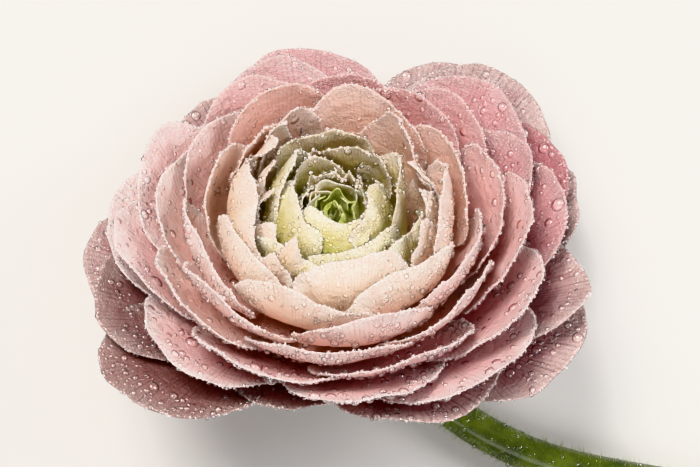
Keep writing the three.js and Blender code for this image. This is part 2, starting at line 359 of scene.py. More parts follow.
        # The wrap round the bloom's axis.
        radius = max(r - tz * off, self.NEAREST)
        wrap = aside / max(radius, self.WRAP_SHARE * self.half_width)
        turn = math.radians(self.azimuth + self.twist * along) + wrap
        height = z + tr * off + self.rear_rise * part**2 * math.sin(turn)
        return Vector((radius * math.cos(turn), radius * math.sin(turn), height))

    def normal(self, along: float, across: float) -> Vector:
        """Finds the unit normal of the face that looks towards the axis.

        Args:
            along: From 0 at the root to 1 at the rim.
            across: From -1 to 1.

        Returns:
            The normal in the bloom's frame.
        """
        step = 0.01
        forward = self.point(min(along + step, 1), across)
        forward -= self.point(max(along - step, 0), across)
        sideways = self.point(along, min(across + step, 1))
        sideways -= self.point(along, max(across - step, -1))
        return sideways.cross(forward).normalized()

    def surface(self, columns: int, rows: int, matrix: Matrix) -> bmesh.types.BMesh:
        """Lays a grid on the middle surface, no lower than the surface that the flower lies on.

        Args:
            columns: The number of cells across.
            rows: The number of cells along.
            matrix: From the bloom's frame to the part's.

        Returns:
            The grid, with a UV map across and along, and with the shares of the painted shade and of
            green as attributes.
        """
        shape = bmesh.new()
        shape.loops.layers.uv.new("petal")
        bmesh.ops.create_grid(shape, x_segments=columns, y_segments=rows, size=1.0, calc_uvs=True)
        depth = shape.verts.layers.float.new("depth")
        green = shape.verts.layers.float.new("green")
        for vertex in shape.verts:
            along = 0.5 + 0.5 * vertex.co.y
            vertex[depth], vertex[green] = self.depth, self.green
            vertex.co = matrix @ self.point(along, vertex.co.x)
            vertex.co.z = max(vertex.co.z, self.LOWEST * MM)
        return shape


@dataclass(frozen=True)
class PetalFinish:
    """Petal tissue, grown and wet from mist: translucent skin with veins that fan from the claw.

    To the eye that is a soft satin sheen over light that sinks into the tissue, streaks along the
    petal, and a rim that is pale with water. The water is countless specks too small to model,
    thickest along the rim, which break up the sheen; their pale colour is a painted glint. The claw
    is darker partly in its own colour and partly as painted shade between petals, and one side of
    the bloom has painted shade. Veins, specks and cells are coarser than in life, because at their
    real sizes they don't show in the render.
    """

    name: str
    # The petal's colours from its root to its rim, and the places where each is reached. The
    # darker claw is partly the petal's own colour and partly painted shade between the petals.
    claw: int
    body: int
    blush: int
    rim: int
    # The colours of its veins, and of the painted shade laid on the side of the bloom in shade.
    vein: int
    painted_shade_colour: int
    vein_strength: float
    stops: tuple[float, float, float, float] = (0.32, 0.56, 0.84, 0.99)
    sap: int = 0xB6B25E
    # A darker grey between the specks in the band inside the rim, and the specks' pale colour,
    # which is a painted glint of light on the fine water.
    grey_between_specks: int = 0x8A7670
    mist: int = 0xFFF6F2
    roughness: float = 0.48
    # The sizes of the patterns in millimetres, and how far the folds, cells, veins and specks
    # stand out.
    vein_spacing: float = 0.55
    streak_width: float = 10 / 11
    mottle_size: float = 5.0
    patch_size: float = 6.0
    speck_size: float = 0.4
    crinkle_size: float = 1.5
    cell_size: float = 0.3
    crinkle_depth: float = 0.55
    cell_depth: float = 0.06
    vein_depth: float = 0.06
    speck_depth: float = 0.14

    # The width and the length in millimetres that the UV map spans on a broad petal.
    WIDTH = 30.0
    LENGTH = 38.0
    # The share of that length that the veins' pattern is laid over, which draws it out lengthwise.
    DRAWN_OUT = 0.5
    # The spacing of the bands of a wave texture whose scale is one.
    BAND = 0.31416

    def _colour(
        self,
        tree: bpy.types.NodeTree,
        place: bpy.types.NodeSocket,
        along: bpy.types.NodeSocket,
    ) -> bpy.types.NodeSocket:
        """Colours the petal from its claw to its rim, with soft blotches, painted shade on one side
        of the bloom, and sap green below.

        Args:
            tree: The node tree of the finish.
            place: The place on the object.
            along: How far along the petal.

        Returns:
            The colour.
        """
        mottle = add_node(
            tree,
            "ShaderNodeTexNoise",
            {"Scale": 1 / (self.mottle_size * MM), "Detail": 3.0, "Roughness": 0.6},
            {"Vector": place},
        )
        spread = add_node(
            tree,
            "ShaderNodeMapRange",
            {"From Min": 0.3, "From Max": 0.7, "To Min": -0.07, "To Max": 0.05},
            {"Value": mottle.outputs["Fac"]},
        )
        shifted = add_node(
            tree, "ShaderNodeMath", {"operation": "ADD"}, {0: along, 1: spread.outputs[0]}
        )
        ramp = add_node(tree, "ShaderNodeValToRGB", None, {0: shifted.outputs[0]})
        stops = ramp.color_ramp.elements
        # The claw's darker colour is partly the petal's own and partly painted shade between petals.
        stops[0].position, stops[0].color = self.stops[0], linear(self.claw)
        stops[1].position, stops[1].color = self.stops[3], linear(self.rim)
        for position, colour in zip(self.stops[1:3], (self.body, self.blush)):
            stops.new(position).color = linear(colour)
        # Painted shade for the side of the bloom in shade, by each petal's depth attribute.
        depth = add_node(tree, "ShaderNodeAttribute", {"attribute_name": "depth"})
        painted_shade_mix = add_node(
            tree,
            "ShaderNodeMix",
            {"data_type": "RGBA", 7: linear(self.painted_shade_colour)},
            {0: depth.outputs["Fac"], 6: ramp.outputs[0]},
        )
        green = add_node(tree, "ShaderNodeAttribute", {"attribute_name": "green"})
        below = add_node(
            tree,
            "ShaderNodeMapRange",
            {"From Min": 0.66, "From Max": 1.0, "To Min": 0.9, "To Max": 0.0},
            {"Value": shifted.outputs[0]},
        )
        sap = add_node(
            tree,
            "ShaderNodeMath",
            {"operation": "MULTIPLY"},
            {0: green.outputs["Fac"], 1: below.outputs[0]},
        )
        greened = add_node(
            tree,
            "ShaderNodeMix",
            {"data_type": "RGBA", 7: linear(self.sap)},
            {0: sap.outputs[0], 6: painted_shade_mix.outputs[2]},
        )
        return greened.outputs[2]

    def _veins(
        self, tree: bpy.types.NodeTree, uv: bpy.types.NodeSocket
    ) -> tuple[bpy.types.NodeSocket, bpy.types.NodeSocket]:
        """Draws fine lines that fan out with the blade, broken by longer streaks.

        Args:
            tree: The node tree of the finish.
            uv: The place on the blade, across and along.

        Returns:
            The veins' height and the share of their colour.
        """
        flat = add_node(
            tree,
            "ShaderNodeVectorMath",
            {"operation": "MULTIPLY", 1: (self.WIDTH, self.LENGTH * self.DRAWN_OUT, 1)},
            {0: uv},
        )
        bands = add_node(
            tree,
            "ShaderNodeTexWave",
            {
                "wave_type": "BANDS",
                "bands_direction": "X",
                "Scale": self.BAND / self.vein_spacing,
                "Distortion": 6.0,
                "Detail": 3.0,
                "Detail Scale": 0.3,
                "Detail Roughness": 0.65,
            },
            {"Vector": flat.outputs[0]},
        )
        stretched = add_node(
            tree,
            "ShaderNodeVectorMath",
            {"operation": "MULTIPLY", 1: (1.0, 0.12, 1.0)},
            {0: flat.outputs[0]},
        )
        streaks = add_node(
            tree,
            "ShaderNodeTexNoise",
            {"Scale": 1 / self.streak_width, "Detail": 4.0, "Roughness": 0.7},
            {"Vector": stretched.outputs[0]},
        )
        lines = add_node(
            tree,
            "ShaderNodeMapRange",
            {"From Min": 0.45, "From Max": 1.0},
            {"Value": bands.outputs["Fac"]},
        )
        sparse = add_node(
            tree,
            "ShaderNodeMapRange",
            {"From Min": 0.38, "From Max": 0.68},
            {"Value": streaks.outputs["Fac"]},
        )
        height = add_node(
            tree,
            "ShaderNodeMath",
            {"operation": "MULTIPLY"},
            {0: lines.outputs[0], 1: sparse.outputs[0]},
        )
        share = add_node(
            tree,
            "ShaderNodeMath",
            {"operation": "MULTIPLY", 1: self.vein_strength, "use_clamp": True},
            {0: height.outputs[0]},
        )
        return height.outputs[0], share.outputs[0]

    def _specks(
        self,
        tree: bpy.types.NodeTree,
        place: bpy.types.NodeSocket,
        along: bpy.types.NodeSocket,
    ) -> tuple[bpy.types.NodeSocket, bpy.types.NodeSocket]:
        """Sets fine beads of mist, in patches over the blade and thick along its rim.

        Args:
            tree: The node tree of the finish.
            place: The place on the object.
            along: How far along the petal.

        Returns:
            The beads' height and how much darker grey the band inside the rim is between them.
        """
        specks = add_node(
            tree,
            "ShaderNodeTexVoronoi",
            {"Scale": 1 / (self.speck_size * MM)},
            {"Vector": place},
        )
        domes = add_node(
            tree,
            "ShaderNodeMapRange",
            {"From Min": 0.12, "From Max": 0.46, "To Min": 1.0, "To Max": 0.0},
            {"Value": specks.outputs["Distance"]},
        )
        patches = add_node(
            tree,
            "ShaderNodeTexNoise",
            {"Scale": 1 / (self.patch_size * MM), "Detail": 2.0},
            {"Vector": place},
        )
        where = add_node(
            tree,
            "ShaderNodeMapRange",
            {"From Min": 0.42, "From Max": 0.64, "To Max": 0.8},
            {"Value": patches.outputs["Fac"]},
        )
        rim = add_node(
            tree, "ShaderNodeMapRange", {"From Min": 0.87, "From Max": 0.99}, {"Value": along}
        )
        both = add_node(
            tree,
            "ShaderNodeMath",
            {"operation": "MAXIMUM"},
            {0: where.outputs[0], 1: rim.outputs[0]},
        )
        dew = add_node(
            tree,
            "ShaderNodeMath",
            {"operation": "MULTIPLY"},
            {0: domes.outputs[0], 1: both.outputs[0]},
        )
        # A darker grey between the specks, in the band inside the rim.
        between = add_node(
            tree,
            "ShaderNodeMapRange",
            {"From Min": 0.2, "From Max": 0.5, "To Max": 0.24},
            {"Value": specks.outputs["Distance"]},
        )
        band = add_node(
            tree, "ShaderNodeMapRange", {"From Min": 0.94, "From Max": 0.985}, {"Value": along}
        )
        grey_between_specks = add_node(
            tree,
            "ShaderNodeMath",
            {"operation": "MULTIPLY"},
            {0: between.outputs[0], 1: band.outputs[0]},
        )
        return dew.outputs[0], grey_between_specks.outputs[0]

    def material(self) -> bpy.types.Material:
        """Builds the finish from its colours and from the sizes of its patterns.

        Returns:
            The material.
        """
        material, tree = new_material(self.name)
        uv = add_node(tree, "ShaderNodeUVMap", {"uv_map": "petal"}).outputs[0]
        along = add_node(tree, "ShaderNodeSeparateXYZ", None, {0: uv}).outputs["Y"]
        place = add_node(tree, "ShaderNodeTexCoord").outputs["Object"]
        colour = self._colour(tree, place, along)
        vein_height, vein_share = self._veins(tree, uv)
        dew, grey_between_specks = self._specks(tree, place, along)
        # The specks' pale colour is a painted glint of light on the fine water.
        painted_glint_share = add_node(tree, "ShaderNodeMath", {"operation": "MULTIPLY", 1: 0.3}, {0: dew})
        layers = ((vein_share, self.vein), (grey_between_specks, self.grey_between_specks), (painted_glint_share.outputs[0], self.mist))
        for share, shade in layers:
            mixed = add_node(
                tree,
                "ShaderNodeMix",
                {"data_type": "RGBA", 7: linear(shade)},
                {0: share, 6: colour},
            )
            colour = mixed.outputs[2]
        cells = add_node(
            tree,
            "ShaderNodeTexNoise",
            {"Scale": 1 / (self.cell_size * MM), "Detail": 1.0},
            {"Vector": place},
        )
        folds = add_node(
            tree,
            "ShaderNodeTexNoise",
            {
                "Scale": 1 / (self.crinkle_size * MM),
                "Detail": 3.0,
                "Roughness": 0.6,
                "Distortion": 0.4,
            },
            {"Vector": place},
        )
        # What stands out, how strongly it bends the light, and how far it stands out.
        reliefs = (
            (folds.outputs["Fac"], 0.8, self.crinkle_depth),
            (cells.outputs["Fac"], 0.4, self.cell_depth),
            (vein_height, 0.5, self.vein_depth),
            (dew, 0.9, self.speck_depth),
        )
        under: dict[str | int, bpy.types.NodeSocket] = {}
        for height, strength, depth in reliefs:
            bump = add_node(
                tree,
                "ShaderNodeBump",
                {"Strength": strength, "Distance": depth * MM},
                {"Height": height, **under},
            )
            under = {"Normal": bump.outputs[0]}
        gloss = add_node(
            tree, "ShaderNodeMapRange", {"To Min": self.roughness, "To Max": 0.14}, {"Value": dew}
        )
        tissue = add_node(
            tree,
            "ShaderNodeBsdfPrincipled",
            {
                "IOR": 1.42,
                "Subsurface Weight": 0.2,
                "Subsurface Radius": (1.0, 0.5, 0.4),
                "Subsurface Scale": 1.0 * MM,
                "Coat Weight": 0.35,
                "Coat Roughness": 0.24,
                "Coat IOR": 1.4,
            },
            {
                "Base Color": colour,
                "Roughness": gloss.outputs[0],
                "Normal": under["Normal"],
                "Coat Normal": under["Normal"],
            },
        )
        add_node(tree, "ShaderNodeOutputMaterial", None, {"Surface": tissue.outputs[0]})
        return material


@dataclass(frozen=True)
class WaterFinish:
    """Clean water in standing drops: clear in the middle, with a painted dark reflection where it is
    seen edge on.

    The sharp highlights and the painted dark outline are what lets a clear drop stand out from the
    petal.
    The coat has a higher IOR than water, so that drops a few pixels wide keep their highlights.
    """

    name: str
    # The colour painted on a drop's edge as a reflection of darker surroundings.
    outline: int
    roughness: float = 0.02
    transmission: float = 1.0

    def material(self) -> bpy.types.Material:
        """Builds the finish.

        Returns:
            The material.
        """
        material, tree = new_material(self.name)
        # A painted reflection darkens the drop where it is seen edge on.
        weight = add_node(tree, "ShaderNodeLayerWeight", {"Blend": 0.5})
        edge = add_node(
            tree,
            "ShaderNodeMapRange",
            {"From Min": 0.08, "From Max": 0.44},
            {"Value": weight.outputs["Facing"]},
        )
        painted_edge_mix = add_node(
            tree,
            "ShaderNodeMix",
            {"data_type": "RGBA", 6: linear(0xFFFFFF), 7: linear(self.outline)},
            {0: edge.outputs[0]},
        )
        water = add_node(
            tree,
            "ShaderNodeBsdfPrincipled",
            {
                "Roughness": self.roughness,
                "IOR": 1.36,
                "Transmission Weight": self.transmission,
                "Coat Weight": 1.0,
                "Coat IOR": 1.95,
                "Coat Roughness": 0.03,
            },
            {"Base Color": painted_edge_mix.outputs[2]},
        )
        add_node(tree, "ShaderNodeOutputMaterial", None, {"Surface": water.outputs[0]})
        return material


@dataclass(frozen=True)
class GreenFinish:
    """Green plant tissue, grown, under a waxy skin.

    To the eye that is soft blotches of its own two colours and an uneven, grained skin, with a wet
    gloss on top where it has a coat. The grain is coarser than the cells of the skin, so that it
    shows in the render.
    """

    name: str
    dark: int
    light: int
    roughness: float
    # The sizes and depths of the patterns are in millimetres.
    blotch_size: float = 4.0
    coat: float = 0.0
    grain_size: float = 0.25
    blotch_depth: float = 0.25
    grain_depth: float = 0.05

    def material(self) -> bpy.types.Material:
        """Builds the finish from its two colours and from the sizes of its patterns.

        Returns:
            The material.
        """
        material, tree = new_material(self.name)
        place = add_node(tree, "ShaderNodeTexCoord").outputs["Object"]
        blotches = add_node(
            tree,
            "ShaderNodeTexNoise",
            {"Scale": 1 / (self.blotch_size * MM), "Detail": 4.0, "Roughness": 0.65},
            {"Vector": place},
        )
        grain = add_node(
            tree,
            "ShaderNodeTexNoise",
            {"Scale": 1 / (self.grain_size * MM), "Detail": 2.0},
            {"Vector": place},
        )
        ramp = add_node(tree, "ShaderNodeValToRGB", None, {0: blotches.outputs["Fac"]})
        stops = ramp.color_ramp.elements
        stops[0].position, stops[0].color = 0.32, linear(self.dark)
        stops[1].position, stops[1].color = 0.68, linear(self.light)
        uneven = add_node(
            tree,
            "ShaderNodeBump",
            {"Strength": 0.5, "Distance": self.blotch_depth * MM},
            {"Height": blotches.outputs["Fac"]},
        )
        fine = add_node(
            tree,
            "ShaderNodeBump",
            {"Strength": 0.4, "Distance": self.grain_depth * MM},
            {"Height": grain.outputs["Fac"], "Normal": uneven.outputs[0]},
        )
        tissue = add_node(
            tree,
            "ShaderNodeBsdfPrincipled",
            {
                "Roughness": self.roughness,
                "IOR": 1.45,
                "Subsurface Weight": 0.1,
                "Subsurface Radius": (0.5, 1.0, 0.25),
                "Subsurface Scale": 1.0 * MM,
                "Coat Weight": self.coat,
                "Coat Roughness": 0.12,
            },
            {"Base Color": ramp.outputs[0], "Normal": fine.outputs[0]},
        )
        add_node(tree, "ShaderNodeOutputMaterial", None, {"Surface": tissue.outputs[0]})
        return material


@dataclass(frozen=True)
class ZoneLayout:
    """Which petals a zone holds, where their roots stand, and how they are finished."""

    zone: Zone
    slot: str
    petals: range
    # The heights of the first and the last root over the seat, in millimetres.
    roots: tuple[float, float]
    # As for a blade.
    ragged: float
    pointed: float
    crumple: float
    pleat: float
    # The azimuth of the side of the bloom that gets painted shade, and how much of it.
    painted_shade_side: float
    painted_shade_share: float
    finish: PetalFinish
    # The colour painted on the drops' edges, a reflection of darker surroundings.
    outline: int


ZONES = (
    ZoneLayout(
        Zone.GUARD, "guard_petal", range(0, 13), (0.7, 2.5),
        ragged=0.036, pointed=0.0, crumple=0.6, pleat=0.1,
        painted_shade_side=225.0, painted_shade_share=0.8,
        finish=PetalFinish(
            "guard_petal_skin_misted",
            claw=0x84545A, body=0x9E6E74, blush=0xB4888C, rim=0xDCC4C2,
            vein=0x543238, painted_shade_colour=0x70504A, vein_strength=0.76,
            stops=(0.34, 0.6, 0.86, 0.99), roughness=0.4,
        ),
        outline=0x4A3838,
    ),
    ZoneLayout(
        Zone.OUTER, "outer_petal", range(13, 30), (3.4, 5.8),
        ragged=0.034, pointed=0.0, crumple=0.5, pleat=0.09,
        painted_shade_side=42.0, painted_shade_share=0.72,
        finish=PetalFinish(
            "outer_petal_skin_misted",
            claw=0xBE6E70, body=0xDCA8A8, blush=0xECCCCA, rim=0xFAECEA,
            vein=0x9C5E64, painted_shade_colour=0xA25560, vein_strength=0.5,
            stops=(0.38, 0.66, 0.89, 0.99), roughness=0.4,
        ),
        outline=0x5C343C,
    ),
    ZoneLayout(
        Zone.MIDDLE, "middle_petal", range(30, 45), (6.7, 8.7),
        ragged=0.034, pointed=0.1, crumple=0.45, pleat=0.1,
        painted_shade_side=66.0, painted_shade_share=0.74,
        finish=PetalFinish(
            "middle_petal_skin_misted",
            claw=0xD29488, body=0xEEC4BC, blush=0xF6DCD6, rim=0xFEF0EC,
            vein=0xB8786E, painted_shade_colour=0xBC707A, vein_strength=0.5,
            stops=(0.34, 0.6, 0.87, 0.99), roughness=0.42,
        ),
        outline=0x6E4846,
    ),
    ZoneLayout(
        Zone.INNER, "inner_petal", range(45, 57), (9.6, 11.1),
        ragged=0.04, pointed=0.3, crumple=0.4, pleat=0.13,
        painted_shade_side=80.0, painted_shade_share=0.6,
        finish=PetalFinish(
            "inner_petal_skin_misted",
            claw=0xD0A088, body=0xE8C8B2, blush=0xEED6C4, rim=0xFCF2EA,
            vein=0xC49078, painted_shade_colour=0xE2AEA6, vein_strength=0.5,
        ),
        outline=0x6E5444,
    ),
    ZoneLayout(
        Zone.HEART, "heart_petal", range(57, 72), (12.1, 13.9),
        ragged=0.07, pointed=0.5, crumple=0.7, pleat=0.2,
        painted_shade_side=60.0, painted_shade_share=0.35,
        finish=PetalFinish(
            "heart_petal_skin_misted",
            claw=0x8E8040, body=0xAC9E6C, blush=0xBCAE86, rim=0xF8F2E2,
            vein=0x8C7C3A, painted_shade_colour=0xC2A282, vein_strength=0.6,
        ),
        outline=0x5A522C,
    ),
)


@dataclass(frozen=True)
class Habit:
    """How a wilder petal at the heart differs from its rule, in millimetres, degrees and shares.

    The first four are as for a blade, and the others move, open and narrow its tip.
    """

    ragged: float
    pointed: float
    ruffle: float
    crumple: float
    nearer: float = 0.0
    higher: float = 0.0
    opened: float = 0.0
    tapered: float = 0.0


@dataclass
class Bloom:
    """The petals of the bloom, laid from the guards to the heart by the golden angle."""

    placement: Placement
    golden_angle: float = 137.508
    first_azimuth: float = 46.0
    # The ranks that are left out between two zones, counted in petals.
    zone_step: float = 1.5
    receptacle_radius: float = 4.4
    # What the receptacle's radius loses for each millimetre of height.
    receptacle_taper: float = 0.2
    root_clearance: float = 0.3
    rear_rise: float = 2.6
    blade_thickness: float = 0.3
    cells: tuple[int, int] = (26, 18)
    # Rank, root slope, tip distance, tip height, tip slope, half width and bulge.
    stations: tuple[tuple[float, ...], ...] = (
        (0.0, 12, 43.5, 14.0, 14, 15.0, 0.42),
        (0.08, 12, 43.0, 18.0, 28, 15.0, 0.42),
        (0.22, 12, 39.5, 22.5, 42, 14.5, 0.42),
        (0.38, 12, 33.0, 26.2, 66, 13.5, 0.42),
        (0.54, 12, 26.5, 28.8, 88, 12.5, 0.44),
        (0.68, 12, 19.5, 30.8, 108, 11.0, 0.5),
        (0.8, 13, 11.5, 31.0, 140, 10.0, 0.6),
        (0.9, 15, 6.0, 28.5, 156, 8.5, 0.62),
        (1.0, 22, 3.6, 25.0, 162, 5.5, 0.58),
    )
    # Swing in degrees, share of the length and lift of the petals that don't keep to the rule.
    own_ways: dict[int, tuple[float, float, float]] = field(
        default_factory=lambda: {
            0: (9, 1.04, 6.0),
            1: (0, 0.96, 0.5),
            2: (8, 1, -1.0),
            3: (2, 0.97, 0.65),
            4: (-17, 1.05, 1.2),
            5: (6, 0.98, 1.0),
            6: (3, 0.82, 0),
            7: (13, 0.92, 0.6),
            8: (-16, 1.03, 3.2),
            9: (2, 0.96, 0.3),
            10: (2, 0.97, -0.4),
            11: (1.5, 0.93, -0.5),
            12: (-12, 0.77, 0),
            13: (-5, 1, 0),
            14: (2, 0.93, 0),
            15: (4, 0.98, 0),
            16: (13, 1, 0),
            19: (-6, 0.88, 0),
            21: (-8, 1.02, 1.4),
            29: (-3, 0.88, 0),
            57: (0, 0.86, 0),
            58: (0, 0.92, 0),
            59: (0, 0.82, 0),
            62: (2, 0.84, 0),
        }
    )
    # Ragged, pointed, ruffle, crumple, nearer, higher, opened and tapered.
    wild: dict[int, Habit] = field(
        default_factory=lambda: {
            50: Habit(0.03, 0.0, 0.7, 0.5, -1.2, 0.4, 22),
            53: Habit(0.07, 0.3, 0.6, 0.6),
            55: Habit(0.1, 0.5, 1.3, 0.9, -0.6, 0.9, 22),
            56: Habit(0.06, 0.3, 0.6, 0.6),
            57: Habit(0.06, 0.4, 0.5, 0.6, 0.6, -0.6, 10),
            58: Habit(0.05, 0.2, 0.7, 0.6, -2.2, 0.6, 45),
            59: Habit(0.05, 0.2, 0.5, 0.6, 0.9, -0.6, 0),
            60: Habit(0.09, 0.6, 1.3, 0.9, -1.5, 0.9, 45, 0.4),
            61: Habit(0.06, 0.5, 0.7, 0.6, 0.6, 0.6, 20, 0.5),
            62: Habit(0.05, 0.1, 0.5, 0.6, 1.4, 0.4, 0),
            63: Habit(0.08, 0.4, 1.2, 0.9, -2.0, 0.6, 50),
            64: Habit(0.05, 0.4, 0.6, 0.5, 0.8, 1.0, 14),
            65: Habit(0.09, 0.6, 0.8, 0.6, 0.6, 1.0, 25),
            66: Habit(0.07, 0.5, 0.7, 0.6, -1.6, 1.0, 50),
            67: Habit(0.05, 0.2, 0.5, 0.5, 1.6, 1.4, 0),
            68: Habit(0.1, 0.6, 1.6, 0.9, -1.0, 1.6, 60, 0.7),
            69: Habit(0.06, 0.5, 0.8, 0.6, 0.4, 0.8, 30, 0.5),
            70: Habit(0.06, 0.3, 0.6, 0.5, 1.2, 1.2, 10),
            71: Habit(0.1, 0.5, 0.8, 0.6, -1.6, 0.6, 55),
        }
    )
    # Narrow petals packed between the inner ones and the heart: azimuth, rank, half width and
    # length.
    tongues: tuple[tuple[float, float, float, float], ...] = (
        (124, 0.797, 4.4, 0.97),
        (150, 0.806, 4.6, 1.0),
        (172, 0.797, 4.8, 0.96),
        (193, 0.81, 4.8, 0.93),
        (211, 0.796, 4.6, 0.9),
        (232, 0.806, 4.4, 0.86),
        (333, 0.804, 4.6, 0.9),
        (355, 0.812, 4.6, 0.95),
        (22, 0.8, 4.8, 0.99),
        (158, 0.855, 4.2, 0.98),
        (183, 0.865, 4.4, 0.96),
        (206, 0.855, 4.2, 0.94),
        (229, 0.865, 4.0, 0.9),
    )
    tongue_root: float = 11.6
    # Petals with a share of painted shade of their own.
    painted_shade_mix: dict[int, float] = field(
        default_factory=lambda: {0: 0.45, 1: 0.3, 2: 0.35, 5: 0.35, 7: 0.3, 8: 0.4, 10: 0.35}
    )
    blades: dict[Zone, list[Blade]] = field(default_factory=dict)

    def receptacle(self, height: float) -> float:
        """Gives the radius of the receptacle at a height above the seat."""
        return self.receptacle_radius - self.receptacle_taper * height

    def _station(self, rank: float) -> list[float]:
        """Finds the values of the stations at any rank between two of them.

        Args:
            rank: From 0 for the outermost petal to 1 at the heart.

        Returns:
            The values in the order of a station.
        """
        for low, high in zip(self.stations, self.stations[1:]):
            if rank <= high[0]:
                share = (rank - low[0]) / (high[0] - low[0])
                return [lerp(a, b, share) for a, b in zip(low, high)]
        return list(self.stations[-1])

    def blade(self, index: int, number: int) -> Blade:
        """Lays out one petal.

        Args:
            index: The petal's number, counted from the outermost.
            number: The number of its zone.

        Returns:
            The petal's blade.
        """
        layout = ZONES[number]
        last = ZONES[-1].petals.stop - 1 + self.zone_step * (len(ZONES) - 1)
        rank = (index + self.zone_step * number) / last
        _, root_slope, tip_radius, tip_height, tip_slope, half_width, bulge = self._station(rank)
        # The rule lets a petal swing by 4 degrees and lose up to 6 percent of its length.
        ruled = (4 * scatter(index, 1), 0.97 + 0.03 * scatter(index, 2), 0.2 * scatter(index, 3))
        swing, length, lift = self.own_ways.get(index, ruled)
        share = (index - layout.petals.start) / (len(layout.petals) - 1)
        root_height = lerp(*layout.roots, share)
        # The slopes of the tips scatter more over the last 30 percent of the ranks.
        heart = max(0.0, (rank - 0.7) / 0.3)
        habit = self.wild.get(index, Habit(layout.ragged, layout.pointed, 0.4, layout.crumple))
        azimuth = self.first_azimuth + self.golden_angle * index + swing
        # From 1 on the side with painted shade to -1 on the other, with some chance in it.
        side = 0.2 * scatter(index, 31) + 0.8 * math.cos(math.radians(azimuth - layout.painted_shade_side))
        painted_shade_share = layout.painted_shade_share * lerp(1.1, 0.8, share) * max(0.0, 0.2 + side)
        return Blade(
            index=index,
            rank=rank,
            azimuth=azimuth,
            root=(self.receptacle(root_height) + 2 * self.root_clearance, root_height),
            tip=(tip_radius - habit.nearer, tip_height + lift + habit.higher),
            slopes=(root_slope, tip_slope - habit.opened + (2 + 6 * heart) * scatter(index, 4)),
            half_width=half_width * (1 + 0.08 * scatter(index, 5)),
            bulge=bulge,
            ruffle=habit.ruffle,
            length=length,
            twist=5 * scatter(index, 10),
            rear_rise=self.rear_rise,
            ragged=habit.ragged,
            pointed=habit.pointed,
            crumple=habit.crumple,
            pleat=layout.pleat,
            tapered=habit.tapered,
            depth=self.painted_shade_mix.get(index, painted_shade_share),
            green=min(max((rank - 0.74) / 0.22, 0.0), 1.0),
        )

    def tongue(self, number: int) -> Blade:
        """Lays out one of the narrow petals.

        Args:
            number: Its number among them.

        Returns:
            The petal's blade.
        """
        azimuth, rank, half_width, length = self.tongues[number]
        _, root_slope, tip_radius, tip_height, tip_slope, _, bulge = self._station(rank)
        index = 100 + number
        return Blade(
            index=index,
            rank=rank,
            azimuth=azimuth,
            root=(self.receptacle(self.tongue_root) + 2 * self.root_clearance, self.tongue_root),
            tip=(tip_radius, tip_height + 0.6 * scatter(index, 3)),
            slopes=(root_slope, tip_slope + 5 * scatter(index, 4)),
            half_width=half_width,
            bulge=bulge,
            ruffle=0.8,
            length=length,
            twist=7 * scatter(index, 10),
            rear_rise=self.rear_rise,
            ragged=0.04,
            pointed=0.6,
            crumple=0.6,
            pleat=0.16,
            tapered=0.75,
            depth=0.1,
            green=lerp(0.1, 0.6, min(max((rank - 0.8) / 0.06, 0.0), 1.0)),
        )

    def build(self) -> None:
        """Builds every petal as a piece of its own."""
        for number, layout in enumerate(ZONES):
            material = layout.finish.material()
            self.blades[layout.zone] = [self.blade(index, number) for index in layout.petals]
            if layout.zone is Zone.INNER:
                self.blades[layout.zone] += map(self.tongue, range(len(self.tongues)))
            for blade in self.blades[layout.zone]:
                shape = blade.surface(*self.cells, self.placement.matrix)
                name = f"{layout.slot}_{blade.index:03d}"
                piece = finish_piece(name, shape, material, layout.zone.value)
                thicken(piece, self.blade_thickness)
            LOG.info("%s: %d petals", layout.zone.value, len(self.blades[layout.zone]))


@dataclass(frozen=True)
class Ring:
    """A ring of small blades round the axis: how many, and the ways of each, as for a blade."""

    count: int
    first_azimuth: float
    root: tuple[float, float]
    tip: tuple[float, float]
    # How far the tips scatter out and up.
    spread: tuple[float, float]
    slopes: tuple[float, float]
    half_width: float
    ragged: float


